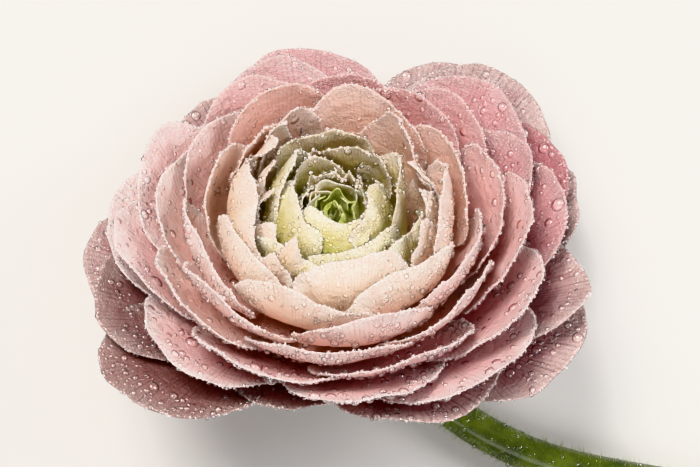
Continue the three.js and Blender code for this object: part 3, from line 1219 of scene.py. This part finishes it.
@dataclass
class Eye:
    """The opening of the heart petals: small torn petals, curled petaloids and a low green core."""

    placement: Placement
    tufts: Ring = Ring(6, 12.0, (2.1, 15.8), (4.2, 25.2), (0.7, 1.0), (50, 102), 3.8, 0.08)
    petaloids: Ring = Ring(7, 0.0, (1.4, 16.1), (2.4, 24.0), (0.6, 1.2), (64, 138), 2.2, 0.07)
    middle: Ring = Ring(5, 25.0, (0.8, 17.3), (1.1, 23.0), (0.4, 0.9), (70, 120), 1.6, 0.06)
    core_radius: float = 1.7
    base: float = 14.9
    top: float = 18.4
    thickness: float = 0.3
    cells: tuple[int, int] = (14, 16)

    def _raise_ring(
        self, ring: Ring, first: int, name: str, slot: str, finish: bpy.types.Material
    ) -> None:
        """Builds one ring of blades.

        Args:
            ring: The ring.
            first: The number of its first blade.
            name: What its blades are called.
            slot: Names what the blades stand for; when it is eye, the imported eye node is hidden.
            finish: The blades' finish.
        """
        for number in range(ring.count):
            index = first + number
            blade = Blade(
                index=index,
                rank=1.0,
                azimuth=ring.first_azimuth + 360 / ring.count * number + 9 * scatter(index, 20),
                root=ring.root,
                tip=(
                    ring.tip[0] + ring.spread[0] * scatter(index, 22),
                    ring.tip[1] + ring.spread[1] * scatter(index, 23),
                ),
                slopes=(ring.slopes[0], ring.slopes[1] + 22 * scatter(index, 24)),
                half_width=ring.half_width * (1 + 0.2 * scatter(index, 25)),
                bulge=0.45,
                ruffle=0.5,
                twist=22 * scatter(index, 21),
                rear_rise=1.2,
                ragged=ring.ragged,
                pointed=0.5,
                crumple=0.6,
                pleat=0.16,
                green=1.0,
            )
            shape = blade.surface(*self.cells, self.placement.matrix)
            replaced = slot if slot == "eye" else None
            piece = finish_piece(f"{name}_{number:02d}", shape, finish, replaced)
            thicken(piece, self.thickness)

    def build(self) -> None:
        """Builds the core and the rings of blades round it."""
        # Young moist tissue: bright yellow-green, with small wet glints on its edges.
        material = GreenFinish("eye_tissue_moist", 0x8E9A2C, 0xE4E6AE, 0.36, 1.6, 0.4).material()
        core = bmesh.new()
        profile = (
            (0.0, self.base),
            (self.core_radius * 0.8, self.base),
            (self.core_radius, self.base + 2.0),
            (self.core_radius * 0.85, self.top - 1.0),
            (self.core_radius * 0.4, self.top - 0.2),
            (0.0, self.top),
        )
        turn_profile(core, profile, 20)
        bmesh.ops.transform(core, matrix=self.placement.matrix, verts=core.verts)
        finish_piece("eye_core", core, material, "eye")
        torn = bpy.data.materials["heart_petal_skin_misted"]
        self._raise_ring(self.tufts, 90, "heart_tuft", "heart_petal", torn)
        self._raise_ring(self.petaloids, 72, "eye_petaloid", "eye", material)
        self._raise_ring(self.middle, 84, "eye_middle_petaloid", "eye", material)
        curled = self.petaloids.count + self.middle.count
        LOG.info("eye: core, %d torn petals, %d petaloids", self.tufts.count, curled)


def turn_profile(
    shape: bmesh.types.BMesh, profile: tuple[tuple[float, float], ...], steps: int
) -> None:
    """Spins a profile round +Z into a closed shell.

    Args:
        shape: The mesh that takes the shell.
        profile: Distances from the axis and heights, from the bottom pole to the top pole.
        steps: The number of steps of the full turn.
    """
    verts = [shape.verts.new((radius, 0.0, height)) for radius, height in profile]
    edges = [shape.edges.new(pair) for pair in zip(verts, verts[1:])]
    bmesh.ops.spin(
        shape,
        geom=verts + edges,
        axis=(0, 0, 1),
        cent=(0, 0, 0),
        angle=math.tau,
        steps=steps,
        use_merge=True,
    )
    bmesh.ops.remove_doubles(shape, verts=shape.verts, dist=1e-5)
    bmesh.ops.recalc_face_normals(shape, faces=shape.faces)


@dataclass
class Swarm:
    """Many copies of one small shape in one mesh."""

    unit: bpy.types.Mesh
    whole: bmesh.types.BMesh = field(default_factory=bmesh.new)

    @classmethod
    def of(cls, make: Callable[..., Any], **sizes: Any) -> "Swarm":
        """Starts a swarm of the shape that a bmesh operator makes.

        Args:
            make: The operator, such as bmesh.ops.create_icosphere.
            **sizes: What the operator is given.

        Returns:
            The empty swarm.
        """
        shape = bmesh.new()
        make(shape, **sizes)
        unit = bpy.data.meshes.new("unit")
        shape.to_mesh(unit)
        shape.free()
        return cls(unit)

    def add(self, matrix: Matrix) -> None:
        """Adds one copy of the shape.

        Args:
            matrix: What places it.
        """
        copy = self.unit.copy()
        copy.transform(matrix)
        self.whole.from_mesh(copy)
        bpy.data.meshes.remove(copy)

    def settle(self, matrix: Matrix) -> bmesh.types.BMesh:
        """Moves the whole swarm and gives up its mesh.

        Args:
            matrix: From the swarm's frame to the part's.

        Returns:
            The mesh.
        """
        bpy.data.meshes.remove(self.unit)
        bmesh.ops.transform(self.whole, matrix=matrix, verts=self.whole.verts)
        return self.whole


@dataclass
class Stem:
    """The cut stem with its bend under the bloom, the receptacle at its top, and its hairs."""

    placement: Placement
    radius: float = 3.0
    sides: int = 28
    ribs: int = 9
    # The bend goes from the seat, down the bloom's axis, to where the stem comes to lie, along its
    # heading there. Each end keeps its direction over the reach.
    reach: float = 7.0
    landing: tuple[float, float, float] = (14.6, -12.8, -5.44)
    landing_heading: float = -39.0
    bend_steps: int = 14
    # From there it lies on the floor and passes these places, as seen from the seat.
    run_steps: int = 10
    run: tuple[tuple[float, float], ...] = (
        (25.1, -20.2),
        (37.1, -25.2),
        (55.8, -28.9),
        (76.0, -31.4),
        (96.0, -35.6),
    )
    # The receptacle's distances from the axis and heights, from inside the stem to its top.
    neck: tuple[tuple[float, float], ...] = (
        (0.0, -5.0),
        (2.2, -5.0),
        (3.0, -4.0),
        (3.25, -2.6),
        (4.2, -2.0),
        (4.4, 0.0),
        (1.5, 14.5),
        (0.0, 14.6),
    )
    hairs: int = 2400
    hair_lengths: tuple[float, float] = (0.5, 1.4)
    # How deep a hair's root stands in the skin, and how high its tip clears the floor.
    hair_root: float = 0.15
    hair_clearance: float = 0.1
    drops: int = 420
    # The least radius of a drop, and what the greatest has over it.
    drop_radii: tuple[float, float] = (0.16, 0.34)
    points: list[Vector] = field(default_factory=list)

    def _route(self) -> list[Vector]:
        """Lays the stem's centre line: the bend under the bloom, then the run on the floor.

        Returns:
            Its points from the seat to the cut end, in millimetres.
        """
        seat = Vector(self.placement.seat)
        axis = self.placement.matrix.to_3x3() @ Vector((0, 0, 1))
        axis.normalize()
        heading = math.radians(self.landing_heading)
        level = Vector((math.cos(heading), math.sin(heading), 0))
        start, end = Vector(), Vector(self.landing)
        knots = [start, start - axis * self.reach, end - level * self.reach, end]
        bend = []
        for step in range(self.bend_steps + 1):
            share = step / self.bend_steps
            rest = 1 - share
            ways = (rest**3, 3 * share * rest**2, 3 * share**2 * rest, share**3)
            bend.append(sum((knot * way for knot, way in zip(knots, ways)), Vector()))
        along = [Vector((x, y, end.z)) for x, y in self.run]
        keys = [bend[-2], end, *along, along[-1] * 2 - along[-2]]
        for first in range(1, len(keys) - 2):
            a, b, c, d = keys[first - 1 : first + 3]
            size = (c - b).length
            ta = (c - a) / max((c - a).length, 1e-6) * size
            tb = (d - b) / max((d - b).length, 1e-6) * size
            for step in range(1, self.run_steps + 1):
                t = step / self.run_steps
                bend.append(
                    b * (2 * t**3 - 3 * t**2 + 1)
                    + ta * (t**3 - 2 * t**2 + t)
                    + c * (3 * t**2 - 2 * t**3)
                    + tb * (t**3 - t**2)
                )
        return [seat + point for point in bend]

    def _rib(self, turn: float, station: int) -> float:
        """Gives the stem's radius at one turn round it, with its shallow ribs and swellings.

        Args:
            turn: The turn round the stem in radians.
            station: The number of the point of the centre line.

        Returns:
            The radius in millimetres.
        """
        ribs = 0.05 * math.sin(self.ribs * turn + 0.02 * station)
        swell = 0.06 * noise(Vector((math.cos(turn), math.sin(turn), station * 0.12)))
        return self.radius * (1 + ribs * 0.5 + swell * 0.5 - 0.012)

    def build(self) -> None:
        """Builds the stem, the receptacle and the hairs."""
        # Fleshy skin, wet: dark green with paler blotches and a broad soft gloss.
        material = GreenFinish("stem_skin_wet", 0x2C3F0A, 0x68781E, 0.42, 5.0, 0.4).material()
        self.points = self._route()
        shape = bmesh.new()
        disc = bmesh.ops.create_circle(shape, segments=self.sides, radius=1.0, cap_ends=True)
        ring = sorted(disc["verts"], key=lambda vertex: math.atan2(vertex.co.y, vertex.co.x))
        turns = [math.atan2(vertex.co.y, vertex.co.x) for vertex in ring]
        side = Vector((1, 0, 0))
        for station, point in enumerate(self.points):
            ahead = self.points[min(station + 1, len(self.points) - 1)]
            behind = self.points[max(station - 1, 0)]
            course = (ahead - behind).normalized()
            side = (side - course * side.dot(course)).normalized()
            over = course.cross(side)
            if station:
                edges = [edge for edge in shape.edges if all(v in ring for v in edge.verts)]
                made = bmesh.ops.extrude_edge_only(shape, edges=edges)["geom"]
                news = [item for item in made if isinstance(item, bmesh.types.BMVert)]
                ring = [min(news, key=lambda v, old=old: (v.co - old.co).length) for old in ring]
            for vertex, turn in zip(ring, turns):
                radius = self._rib(turn, station)
                vertex.co = point + side * radius * math.cos(turn) + over * radius * math.sin(turn)
        shape.faces.new(ring)
        bmesh.ops.recalc_face_normals(shape, faces=shape.faces)
        bmesh.ops.scale(shape, vec=(MM, MM, MM), verts=shape.verts)
        finish_piece("stem_stalk", shape, material, "stem")

        cone = bmesh.new()
        turn_profile(cone, self.neck, self.sides)
        bmesh.ops.transform(cone, matrix=self.placement.matrix, verts=cone.verts)
        finish_piece("stem_receptacle", cone, material, "stem")
        self._grow_hairs()
        self._wet()
        LOG.info("stem: %d stations, %d hairs", len(self.points), self.hairs)

    def _skin_place(self, dice: Random) -> tuple[Vector, Vector, Vector]:
        """Picks a place on the stem's skin by chance, clear of both ends.

        Args:
            dice: The source of chance.

        Returns:
            The place, the way out of the skin and the stem's course there.
        """
        station = dice.uniform(3, len(self.points) - 1.2)
        low = int(station)
        point = self.points[low].lerp(self.points[low + 1], station - low)
        course = (self.points[low + 1] - self.points[low]).normalized()
        side = course.orthogonal().normalized()
        turn = dice.uniform(0, math.tau)
        out = side * math.cos(turn) + course.cross(side) * math.sin(turn)
        return point + out * self.radius, out, course

    def _grow_hairs(self) -> None:
        """Grows short fine hairs out of the stem's skin."""
        dice = Random(5)
        swarm = Swarm.of(
            bmesh.ops.create_cone,
            cap_ends=False,
            segments=3,
            radius1=0.05,
            radius2=0.008,
            depth=1.0,
        )
        for _ in range(self.hairs):
            place, out, course = self._skin_place(dice)
            lean = (out + course * dice.uniform(-0.5, 0.2)).normalized()
            length = dice.uniform(*self.hair_lengths)
            root = place - out * self.hair_root
            if (root + lean * length).z < self.hair_clearance:
                continue
            turned = lean.to_track_quat("Z", "Y").to_matrix().to_4x4()
            drawn = Matrix.Diagonal((1, 1, length, 1))
            swarm.add(Matrix.Translation(root + lean * length / 2) @ turned @ drawn)
        # Fine pale hairs, which catch the light as a fringe along the stem.
        hair = GreenFinish("stem_hair_fine", 0x8FA560, 0xC9D2A4, 0.4).material()
        finish_piece("stem_hairs", swarm.settle(Matrix.Scale(MM, 4)), hair)

    def _wet(self) -> None:
        """Stands drops on the upper side of the stem."""
        dice = Random(8)
        swarm = Swarm.of(bmesh.ops.create_uvsphere, u_segments=8, v_segments=5, radius=1.0)
        for _ in range(self.drops):
            place, out, _ = self._skin_place(dice)
            radius = self.drop_radii[0] + self.drop_radii[1] * dice.random() ** 2
            # Only the upper side is wet.
            if out.z < 0.1:
                continue
            turned = out.to_track_quat("Z", "Y").to_matrix().to_4x4()
            squat = Matrix.Diagonal((radius, radius, 0.8 * radius, 1.0))
            swarm.add(Matrix.Translation(place + out * 0.1 * radius) @ turned @ squat)
        # The drops' edges are painted with a dark green reflection of the stem.
        water = WaterFinish("water_drops_on_stem", 0x3E4A26).material()
        wet = finish_piece("stem_drops", swarm.settle(Matrix.Scale(MM, 4)), water)
        # Light goes on through water to the skin behind it.
        wet.visible_shadow = False


@dataclass
class Sepals:
    """Five small hairy sepals under the bloom."""

    placement: Placement
    bloom: Bloom
    # Azimuths and heights of the tips.
    places: tuple[tuple[float, float], ...] = (
        (249, -2.2),
        (321, -1.4),
        (33, 0.6),
        (105, 1.2),
        (177, 0.2),
    )
    root_height: float = -1.3
    # How far the roots stand out from the receptacle, and the tips from the axis.
    root_clearance: float = 0.6
    spread: float = 15.0
    thickness: float = 0.4
    cells: tuple[int, int] = (14, 16)

    def build(self) -> None:
        """Builds the sepals."""
        # Felted tissue: dull olive without a gloss, since its fine hairs scatter the light.
        material = GreenFinish("sepal_tissue_felted", 0x5C6030, 0x869048, 0.6, 2.2).material()
        for number, (azimuth, tip_height) in enumerate(self.places):
            blade = Blade(
                index=78 + number,
                rank=1.0,
                azimuth=azimuth,
                root=(
                    self.bloom.receptacle(self.root_height) + self.root_clearance,
                    self.root_height,
                ),
                tip=(self.spread, tip_height),
                slopes=(-8, 14),
                half_width=4.0,
                bulge=0.4,
                ruffle=0.3,
                crumple=0.3,
            )
            shape = blade.surface(*self.cells, self.placement.matrix)
            piece = finish_piece(f"sepal_{number}", shape, material, "sepals")
            thicken(piece, self.thickness)
        LOG.info("sepals: %d", len(self.places))


@dataclass(frozen=True)
class BigDrop:
    """One large drop of the photo: its petal, its place on it, and its radius in millimetres."""

    zone: Zone
    petal: int
    along: float
    across: float
    face: Face
    radius: float


@dataclass(frozen=True)
class Wetness:
    """How wet the petals of a zone are. Radii are in millimetres."""

    # How many drops are tried for each petal, and the share in the band inside its rim.
    tries: int
    rim_share: float
    # The radii of a common drop, and the share of drops that are bigger.
    least: float
    greatest: float
    big_share: float
    # How much larger the drops on the rim are than a guard petal's.
    rim_growth: float


@dataclass(frozen=True)
class Mist:
    """The petals that the mist falls on and the directions that it comes from."""

    petals: BVHTree
    sky: list[Vector]

    # How far off the middle of a blade the search starts, clear of its skin, in millimetres.
    CLEAR = 0.35
    # The room that a drop needs over that, for each millimetre of its radius and in any case.
    ROOM = (1.6, 0.4)

    def reaches(self, place: Vector, normal: Vector, radius: float) -> bool:
        """Says whether mist can reach a place on a petal and a drop has room there.

        Args:
            place: The place, in the bloom's frame.
            normal: The unit normal of the face there.
            radius: The drop's radius in millimetres.

        Returns:
            True if the drop can stand there.
        """
        start = place + normal * self.CLEAR
        room = self.ROOM[0] * radius + self.ROOM[1]
        if self.petals.ray_cast(start, normal, room)[0] is not None:
            return False
        return any(
            way.dot(normal) > 0.05 and self.petals.ray_cast(start, way)[0] is None
            for way in self.sky
        )


@dataclass
class Dew:
    """Water on the petals: standing drops in clusters, rows of drops on the rims, and fine beads.

    Lengths are millimetres. Places are shares along and across a petal.
    """

    bloom: Bloom
    wetness: dict[Zone, Wetness] = field(
        default_factory=lambda: {
            Zone.GUARD: Wetness(2000, 0.72, 0.24, 0.72, 0.12, 1.0),
            Zone.OUTER: Wetness(2300, 0.78, 0.24, 0.72, 0.14, 1.1),
            Zone.MIDDLE: Wetness(1200, 0.7, 0.22, 0.62, 0.08, 1.1),
            Zone.INNER: Wetness(560, 0.5, 0.2, 0.52, 0.05, 1.2),
            Zone.HEART: Wetness(800, 0.4, 0.2, 0.52, 0.05, 1.5),
        }
    )
    big_drops: tuple[BigDrop, ...] = (
        BigDrop(Zone.OUTER, 22, 0.85, 0.367, Face.INSIDE, 1.3),
        BigDrop(Zone.HEART, 60, 0.97, 0.76, Face.INSIDE, 0.9),
    )
    biggest: float = 1.15
    # Where the band inside the rim and the field below it end towards the rim, and how far down
    # the petal each goes from there.
    band: tuple[float, float] = (0.975, 0.13)
    field_below: tuple[float, float] = (0.88, 0.5)
    # Where the row on the rim runs, how far to each side, and in steps of what length it is
    # measured.
    row: float = 0.99
    row_end: float = 0.92
    row_step: float = 0.02
    # The least radius of a drop on the rim, and of a bead, and what the greatest has over it.
    rim_radii: tuple[float, float] = (0.18, 0.2)
    bead_radii: tuple[float, float] = (0.08, 0.12)
    beads_per_mm: float = 3.4
    # How far down from the rim the beads reach.
    bead_band: float = 0.035
    # How much of a petal's width the drops in its band and field, and the beads, stand on.
    drop_width: float = 0.95
    bead_width: float = 0.97
    inside_share: float = 0.72
    # The clusters' size, and how low their noise is where the petal stays bare.
    cluster_size: float = 4.5
    bare: float = -0.12
    # How far the foot of a drop, and of a bead, is from the middle of the blade, inside its skin.
    foot: float = 0.14
    bead_foot: float = 0.1
    # Two drops stand no nearer than this share of their radii, and none this near to the floor.
    nearness: float = 0.95
    floor_gap: float = 0.1
    # Drops up to these radii have few faces, then more, and the others are finely round.
    small: float = 0.33
    finely_round: float = 0.55
    # The cells of the petals that stand in the mist's way, and the rings of directions that it
    # comes from: their tilt in degrees and their number.
    coarse_cells: tuple[int, int] = (12, 12)
    sky_rings: tuple[tuple[int, int], ...] = ((35, 6), (62, 8))
    seed: int = 23

    def _mist(self) -> Mist:
        """Puts every petal's middle surface in one search tree and lays out the sky over it.

        Returns:
            The mist, in the bloom's frame, from straight above and from the rings round that.
        """
        matrix = self.bloom.placement.matrix
        whole = bmesh.new()
        for blades in self.bloom.blades.values():
            for blade in blades:
                part = blade.surface(*self.coarse_cells, matrix)
                mesh = bpy.data.meshes.new("scratch")
                part.to_mesh(mesh)
                part.free()
                whole.from_mesh(mesh)
                bpy.data.meshes.remove(mesh)
        bmesh.ops.transform(whole, matrix=matrix.inverted(), verts=whole.verts)
        petals = BVHTree.FromBMesh(whole)
        whole.free()
        sky = [Vector((0, 0, 1))]
        for tilt, count in self.sky_rings:
            flat, up = math.sin(math.radians(tilt)), math.cos(math.radians(tilt))
            for number in range(count):
                turn = math.tau * (number + 0.3) / count
                sky.append(Vector((flat * math.cos(turn), flat * math.sin(turn), up)))
        return Mist(petals, sky)

    def _clears_floor(self, place: Vector, radius: float) -> bool:
        """Says whether a drop of one radius at a place in the bloom's frame stays off the floor."""
        return (self.bloom.placement.matrix @ place).z > (radius + self.floor_gap) * MM

    def _stand_drops(
        self, swarms: dict[str, Swarm], mist: Mist, dice: Random, blade: Blade, zone: Zone
    ) -> None:
        """Stands drops on both faces of one petal, in clusters, most of them inside its rim.

        Args:
            swarms: The drops by name, of unit radius.
            mist: The mist.
            dice: The source of chance.
            blade: The petal.
            zone: The petal's zone.
        """
        wet = self.wetness[zone]
        taken: list[tuple[Vector, float]] = []
        wanted = [
            (drop.along, drop.across, drop.face, drop.radius)
            for drop in self.big_drops
            if (drop.zone, drop.petal) == (zone, blade.index)
        ]
        for _ in range(wet.tries):
            banded = dice.random() < wet.rim_share
            end, depth = self.band if banded else self.field_below
            along = end - depth * dice.random()
            radius = lerp(wet.least, wet.greatest, dice.random() ** 1.6)
            if dice.random() < wet.big_share:
                radius = dice.uniform(wet.greatest, self.biggest)
            face = Face.INSIDE if dice.random() < self.inside_share else Face.OUTSIDE
            across = dice.uniform(-self.drop_width, self.drop_width)
            wanted.append((along, across, face, radius))
        for number, (along, across, face, radius) in enumerate(wanted):
            place = blade.point(along, across)
            # The large drops of the photo come first and stand whatever is round them.
            named = len(wanted) - number > wet.tries
            cluster = noise(place / self.cluster_size + Vector((blade.index, 0, 0)))
            if not named and cluster < self.bare:
                continue
            normal = blade.normal(along, across) * face.value
            place += normal * self.foot
            if not named:
                if any(
                    (place - other).length < self.nearness * (radius + reach)
                    for other, reach in taken
                ):
                    continue
                if not self._clears_floor(place, radius):
                    continue
                if not mist.reaches(place, normal, radius):
                    continue
            taken.append((place, radius))
            turned = normal.to_track_quat("Z", "Y").to_matrix().to_4x4()
            wide = radius * dice.uniform(0.88, 1.15)
            squat = Matrix.Diagonal((radius, wide, radius * dice.uniform(0.55, 0.8), 1.0))
            name = "big_drops"
            if radius < self.finely_round:
                name = "small_drops" if radius < self.small else "drops"
            swarms[name].add(Matrix.Translation(place + normal * radius * 0.12) @ turned @ squat)

    def _string_rim(
        self, swarms: dict[str, Swarm], mist: Mist, dice: Random, blade: Blade, zone: Zone
    ) -> None:
        """Strings a row of drops along one petal's rim.

        Args:
            swarms: The drops by name, of unit radius.
            mist: The mist.
            dice: The source of chance.
            blade: The petal.
            zone: The petal's zone.
        """
        growth = self.wetness[zone].rim_growth
        least, more = self.rim_radii
        across = -self.row_end
        while across < self.row_end:
            place = blade.point(self.row, across)
            radius = growth * (least + more * dice.random() ** 2)
            normal = blade.normal(self.row, across)
            reached = any(mist.reaches(place, normal * face.value, radius) for face in Face)
            if reached and self._clears_floor(place, radius):
                swarm = swarms["rim_drops" if radius < self.small else "drops"]
                moved = Matrix.Translation(place + normal * dice.uniform(-0.15, 0.15))
                swarm.add(moved @ Matrix.Scale(radius, 4))
            ahead = blade.point(self.row, min(across + self.row_step, 1.0))
            step = (ahead - place).length
            across += growth * dice.uniform(0.45, 1.1) * self.row_step / max(step, 0.02)

    def _crowd_beads(self, swarm: Swarm, mist: Mist, dice: Random, blade: Blade) -> None:
        """Crowds small beads along one petal's rim.

        Args:
            swarm: The beads, of unit radius.
            mist: The mist.
            dice: The source of chance.
            blade: The petal.
        """
        steps = [blade.point(1.0, -1 + step / 20) for step in range(41)]
        length = sum((b - a).length for a, b in zip(steps, steps[1:]))
        least, more = self.bead_radii
        for _ in range(int(length * self.beads_per_mm)):
            across = dice.uniform(-self.bead_width, self.bead_width)
            along = 1.0 - self.bead_band * dice.random() ** 2
            radius = least + more * dice.random() ** 2
            face = dice.choice((Face.INSIDE, Face.OUTSIDE))
            normal = blade.normal(along, across) * face.value
            place = blade.point(along, across) + normal * self.bead_foot
            if self._clears_floor(place, radius) and mist.reaches(place, normal, radius):
                swarm.add(Matrix.Translation(place) @ Matrix.Scale(radius, 4))

    def build(self) -> None:
        """Wets the petals, zone by zone."""
        mist = self._mist()
        # Beads too fine to see one by one: a frosted white, where light goes through in part, with a
        # painted greyer reflection at their edges.
        frost = WaterFinish("water_fine_beads", 0xD8C8C6, 0.06, 0.8).material()
        matrix = self.bloom.placement.matrix
        sphere = bmesh.ops.create_uvsphere
        for layout in ZONES:
            dice = Random(f"{self.seed} {layout.zone.value}")
            # Each zone's drops get its painted dark reflection at their edges.
            water = WaterFinish(f"water_drops_on_{layout.slot}", layout.outline).material()
            swarms = {
                "small_drops": Swarm.of(sphere, u_segments=6, v_segments=4, radius=1.0),
                "drops": Swarm.of(sphere, u_segments=8, v_segments=5, radius=1.0),
                "big_drops": Swarm.of(sphere, u_segments=14, v_segments=8, radius=1.0),
                "rim_drops": Swarm.of(sphere, u_segments=6, v_segments=4, radius=1.0),
                "beads": Swarm.of(bmesh.ops.create_icosphere, subdivisions=1, radius=1.0),
            }
            for blade in self.bloom.blades[layout.zone]:
                self._stand_drops(swarms, mist, dice, blade, layout.zone)
                self._string_rim(swarms, mist, dice, blade, layout.zone)
                self._crowd_beads(swarms["beads"], mist, dice, blade)
            for name, swarm in swarms.items():
                whole = swarm.settle(matrix)
                count = len(whole.faces)
                finish = frost if name in ("beads", "rim_drops") else water
                water_piece = finish_piece(f"{layout.slot}_{name}", whole, finish)
                # Light goes on through water to the petal behind it.
                water_piece.visible_shadow = False
                LOG.info("%s on %s: %d faces", name, layout.zone.value, count)


@dataclass
class Studio:
    """The pale floor, the soft lights and the camera."""

    placement: Placement
    # Half the side of the floor and the distance of the camera are in metres.
    floor_size: float = 1.6
    distance: float = 0.308
    # The camera's angle over the plane of the bloom, in degrees.
    photo_elevation: float = 46.0
    lens: float = 100.0
    sensor: float = 36.0
    # Millimetres to a pixel of the photo, the height of the middle of the bloom over its seat, and
    # how many pixels the middle of the photo lies right of it and below it.
    scale: float = 0.158
    middle_height: float = 22.0
    right: float = 14
    below: float = 15.5
    floor_colour: int = 0xE2E0DD
    air_colour: int = 0xE8ECF2
    air_strength: float = 0.21

    @staticmethod
    def _aim(thing: bpy.types.Object, place: Vector, target: Vector) -> None:
        """Puts a lamp or camera at a place and turns it to a target."""
        thing.location = place
        thing.rotation_euler = (target - place).to_track_quat("-Z", "Y").to_euler()

    def _lamp(
        self, name: str, place: tuple[float, float, float], size: float, power: float, colour: int
    ) -> None:
        """Hangs one softbox, aimed at the bloom.

        Args:
            name: The lamp's name.
            place: Where it hangs, in metres.
            size: The side of its square face, in metres.
            power: Its power in watts.
            colour: Its colour as an sRGB hex value.
        """
        light = bpy.data.lights.new(name, "AREA")
        light.size = size
        light.energy = power
        light.color = linear(colour)[:3]
        lamp = bpy.data.objects.new(name, light)
        bpy.context.scene.collection.objects.link(lamp)
        self._aim(lamp, Vector(place), Vector(self.placement.seat) * MM)

    def build(self) -> None:
        """Builds the floor, the lights, the sky and the camera."""
        shape = bmesh.new()
        bmesh.ops.create_grid(shape, x_segments=1, y_segments=1, size=self.floor_size)
        mesh = bpy.data.meshes.new("floor")
        shape.to_mesh(mesh)
        shape.free()
        floor = bpy.data.objects.new("floor", mesh)
        bpy.context.scene.collection.objects.link(floor)
        # Matt paint on a board: pale, without a reflection, so that only a soft shadow shows.
        material, tree = new_material("floor_board_matt_painted")
        paint = add_node(
            tree,
            "ShaderNodeBsdfPrincipled",
            {"Base Color": linear(self.floor_colour), "Roughness": 0.8},
        )
        add_node(tree, "ShaderNodeOutputMaterial", None, {"Surface": paint.outputs[0]})
        mesh.materials.append(material)

        self._lamp("softbox_key", (-0.2, 0.26, 0.54), 0.32, 4.9, 0xFFFAF4)
        self._lamp("softbox_side", (0.42, 0.15, 0.4), 0.26, 2.1, 0xFFFFFF)
        self._lamp("softbox_fill", (-0.1, -0.42, 0.5), 0.4, 1.8, 0xFFFCFA)
        world = bpy.data.worlds.new("studio_air")
        world.use_nodes = True
        air = world.node_tree.nodes["Background"].inputs
        air["Color"].default_value = linear(self.air_colour)
        air["Strength"].default_value = self.air_strength
        bpy.context.scene.world = world
        bpy.context.scene.view_settings.view_transform = "Khronos PBR Neutral"

        data = bpy.data.cameras.new("camera")
        data.lens = self.lens
        data.sensor_width = self.sensor
        data.clip_start = 0.01
        camera = bpy.data.objects.new("camera", data)
        bpy.context.scene.collection.objects.link(camera)
        tilt = math.radians(self.photo_elevation)
        back = Vector((0, -math.cos(tilt), math.sin(tilt)))
        down = Vector((0, -math.sin(tilt), -math.cos(tilt)))
        middle = Vector((self.right * self.scale, 0, self.middle_height))
        middle += down * self.below * self.scale
        matrix = self.placement.matrix
        target = matrix @ middle
        self._aim(camera, target + (matrix.to_3x3().normalized() @ back) * self.distance, target)
        bpy.context.scene.camera = camera
        LOG.info("studio: floor, lights and camera")


def main() -> None:
    logging.basicConfig(level=logging.INFO, format="%(relativeCreated)6d ms  %(name)s: %(message)s")
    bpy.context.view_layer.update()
    placement = Placement()
    bloom = Bloom(placement)
    bloom.build()
    Eye(placement).build()
    Sepals(placement, bloom).build()
    Stem(placement).build()
    Dew(bloom).build()
    Studio(placement).build()
    bpy.context.view_layer.update()


if __name__ == "__main__":
    main()
